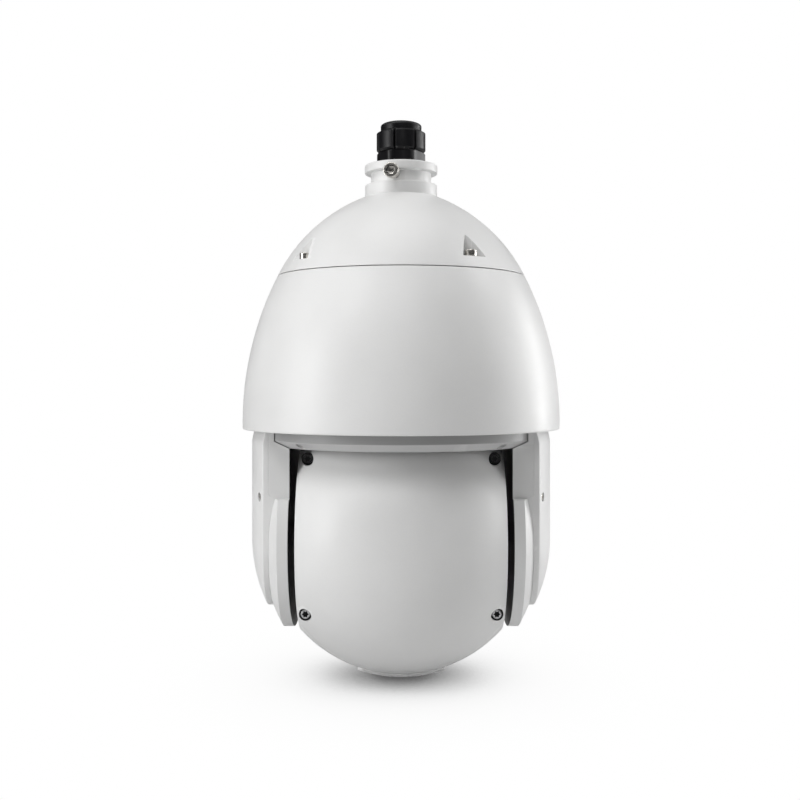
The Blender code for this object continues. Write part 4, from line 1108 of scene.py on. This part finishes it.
def make_led_board():
    board = about_lens("ir_led_board_fine", [
        (0.0250, 0.0400), (0.0420, 0.0400), (0.0420, 0.0416, 0.0002), (0.0250, 0.0416, 0.0002),
    ], board_black, 160)
    settle_hard(board, "camera_ball", "circuit_board", "ir_led_board")
    for number in range(LEDS):
        angle = 2 * pi * number / LEDS
        seat = BALL + Vector((LED_CIRCLE_R * cos(angle), 0.0416, LED_CIRCLE_R * sin(angle)))
        cup = rounded([
            (0.0020, 0.0), (0.0048, 0.0), (0.0064, 0.0030), (0.0064, 0.0036), (0.0060, 0.0036, 0.0001),
            (0.0036, 0.0004, 0.0004), (0.0020, 0.0004),
        ])
        obj = turn_to(piece(f"ir_reflector_{number + 1}", lathe(cup, sides=48), reflector), seat, (0, 1, 0))
        settle(obj, "camera_ball", "circuit_board", "ir_led_board")
        bulb = [(0, 0.0), (0.0030, 0.0004), (0.0030, 0.0018)]
        bulb += [(0.0030 * cos(t), 0.0018 + 0.0026 * sin(t)) for t in (pi / 2 * i / 10 for i in range(1, 10))]
        bulb += [(0, 0.0044)]
        obj = turn_to(piece(f"ir_emitter_{number + 1}", lathe(bulb, sides=40), emitter), seat, (0, 1, 0))
        settle(obj, "camera_ball", "circuit_board", "ir_led_board")


# ---- CAD nodes that keep their shape
def dress(node, material):
    """A better material in every slot of a CAD node."""
    obj = frame["nodes"][node]
    if not obj.material_slots:
        obj.data.materials.append(material)
    for place in obj.material_slots:
        place.material = material


def dress_hidden_parts():
    finishes = {
        black: ("slip_ring", "pan_pulley", "tilt_pulley", "camera_block"),
        seal_rubber: ("dome_seal", "pan_belt", "tilt_belt"),
        cast_metal: (
            "base_plate", "slip_ring_bracket", "pan_spindle", "pan_motor", "pan_motor_pulley", "tilt_motor",
            "tilt_motor_pulley", "left_trunnion", "right_trunnion", "camera_bracket",
        ),
        ground_steel: ("pan_bearing", "left_tilt_bearing", "right_tilt_bearing"),
        board_green: ("power_board", "sensor_board"),
    }
    for material, nodes in finishes.items():
        for node in nodes:
            dress(node, material)


# ---- floor, light and camera
def shown_and_lit(tree, shown, lit, output):
    """The camera sees one shader, and everything else is lit by the other."""
    rays, mix, out = (tree.nodes.new(kind) for kind in ("ShaderNodeLightPath", "ShaderNodeMixShader", output))
    tree.links.new(rays.outputs["Is Camera Ray"], mix.inputs["Fac"])
    tree.links.new(lit, mix.inputs[1])
    tree.links.new(shown, mix.inputs[2])
    tree.links.new(mix.outputs["Shader"], out.inputs["Surface"])


def make_floor():
    """White paper that the camera sees glowing, with a soft contact shadow painted into its glow where it sees
    less of the sky.
    """
    mesh = bpy.data.meshes.new("floor")
    half = 6.0
    corners = [(-half, -half, 0), (half, -half, 0), (half, half, 0), (-half, half, 0)]
    mesh.from_pydata(corners, [], [(0, 1, 2, 3)])
    floor = linked("floor", mesh)
    floor.location.z = FLOOR_Z
    material = bpy.data.materials.new("floor_paper")
    material.use_nodes = True
    tree = material.node_tree
    tree.nodes.clear()
    sky = tree.nodes.new("ShaderNodeAmbientOcclusion")
    sky.inputs["Distance"].default_value = 0.6
    sky.samples = 16
    ramp = tree.nodes.new("ShaderNodeValToRGB")
    stops = ramp.color_ramp.elements
    while len(stops) > 1:
        stops.remove(stops[-1])
    for number, (open_sky, tone) in enumerate(FLOOR_TONES):
        stop = stops[0] if number == 0 else stops.new(open_sky)
        stop.position = open_sky
        stop.color = (tone, tone, tone, 1)
    glow, paper = tree.nodes.new("ShaderNodeEmission"), tree.nodes.new("ShaderNodeBsdfDiffuse")
    paper.inputs["Color"].default_value = (0.75, 0.75, 0.75, 1)
    tree.links.new(sky.outputs["AO"], ramp.inputs["Fac"])
    tree.links.new(ramp.outputs["Color"], glow.inputs["Color"])
    shown_and_lit(tree, glow.outputs["Emission"], paper.outputs["BSDF"], "ShaderNodeOutputMaterial")
    mesh.materials.append(material)


def softbox(name, azimuth, stand, power):
    """An area light that faces the dome. Azimuths run from -Y towards +X."""
    distance, height, width, tall = stand
    light = bpy.data.lights.new(name, "AREA")
    light.shape = "RECTANGLE"
    light.size, light.size_y = width, tall
    light.energy = power
    obj = linked(name, light)
    obj.location = compass(radians(azimuth), distance, height)
    obj.rotation_euler = (obj.location - Vector(LIGHT_AIM)).to_track_quat("Z", "Y").to_euler()


def make_world():
    world = bpy.data.worlds.new("studio")
    bpy.context.scene.world = world
    world.use_nodes = True
    tree = world.node_tree
    tree.nodes.clear()
    seen, lit = tree.nodes.new("ShaderNodeBackground"), tree.nodes.new("ShaderNodeBackground")
    for background, strength in ((seen, 1.0), (lit, WORLD_LIGHT)):
        background.inputs["Color"].default_value = (1, 1, 1, 1)
        background.inputs["Strength"].default_value = strength
    shown_and_lit(tree, seen.outputs["Background"], lit.outputs["Background"], "ShaderNodeOutputWorld")


def make_camera():
    data = bpy.data.cameras.new("studio_camera")
    data.sensor_width = 36.0
    data.lens = 48.95
    data.shift_x = -0.0014
    data.shift_y = -0.0275
    data.clip_start = 0.01
    obj = linked("studio_camera", data)
    obj.location = (0, -0.645, -0.1292)
    obj.rotation_euler = (pi / 2, 0, 0)
    bpy.context.scene.camera = obj


reflector = turned_metal("led_reflector", (0.78, 0.78, 0.77), 0.18, (1, 1, 1), 900)
emitter = clear_glass("led_lens", (0.88, 0.84, 0.70), 0.06)

make_collar()
make_lock_screw()
make_gland()
make_dome()
make_plate()
for arm_name, arm_side in (("left", -1), ("right", 1)):
    make_arm(arm_name, arm_side)
make_ball()
make_window()
make_lenses()
make_led_board()
dress_hidden_parts()

make_floor()
for light_row in LIGHTS:
    softbox(*light_row)
make_world()
make_camera()
bpy.context.scene.view_settings.view_transform = "Standard"
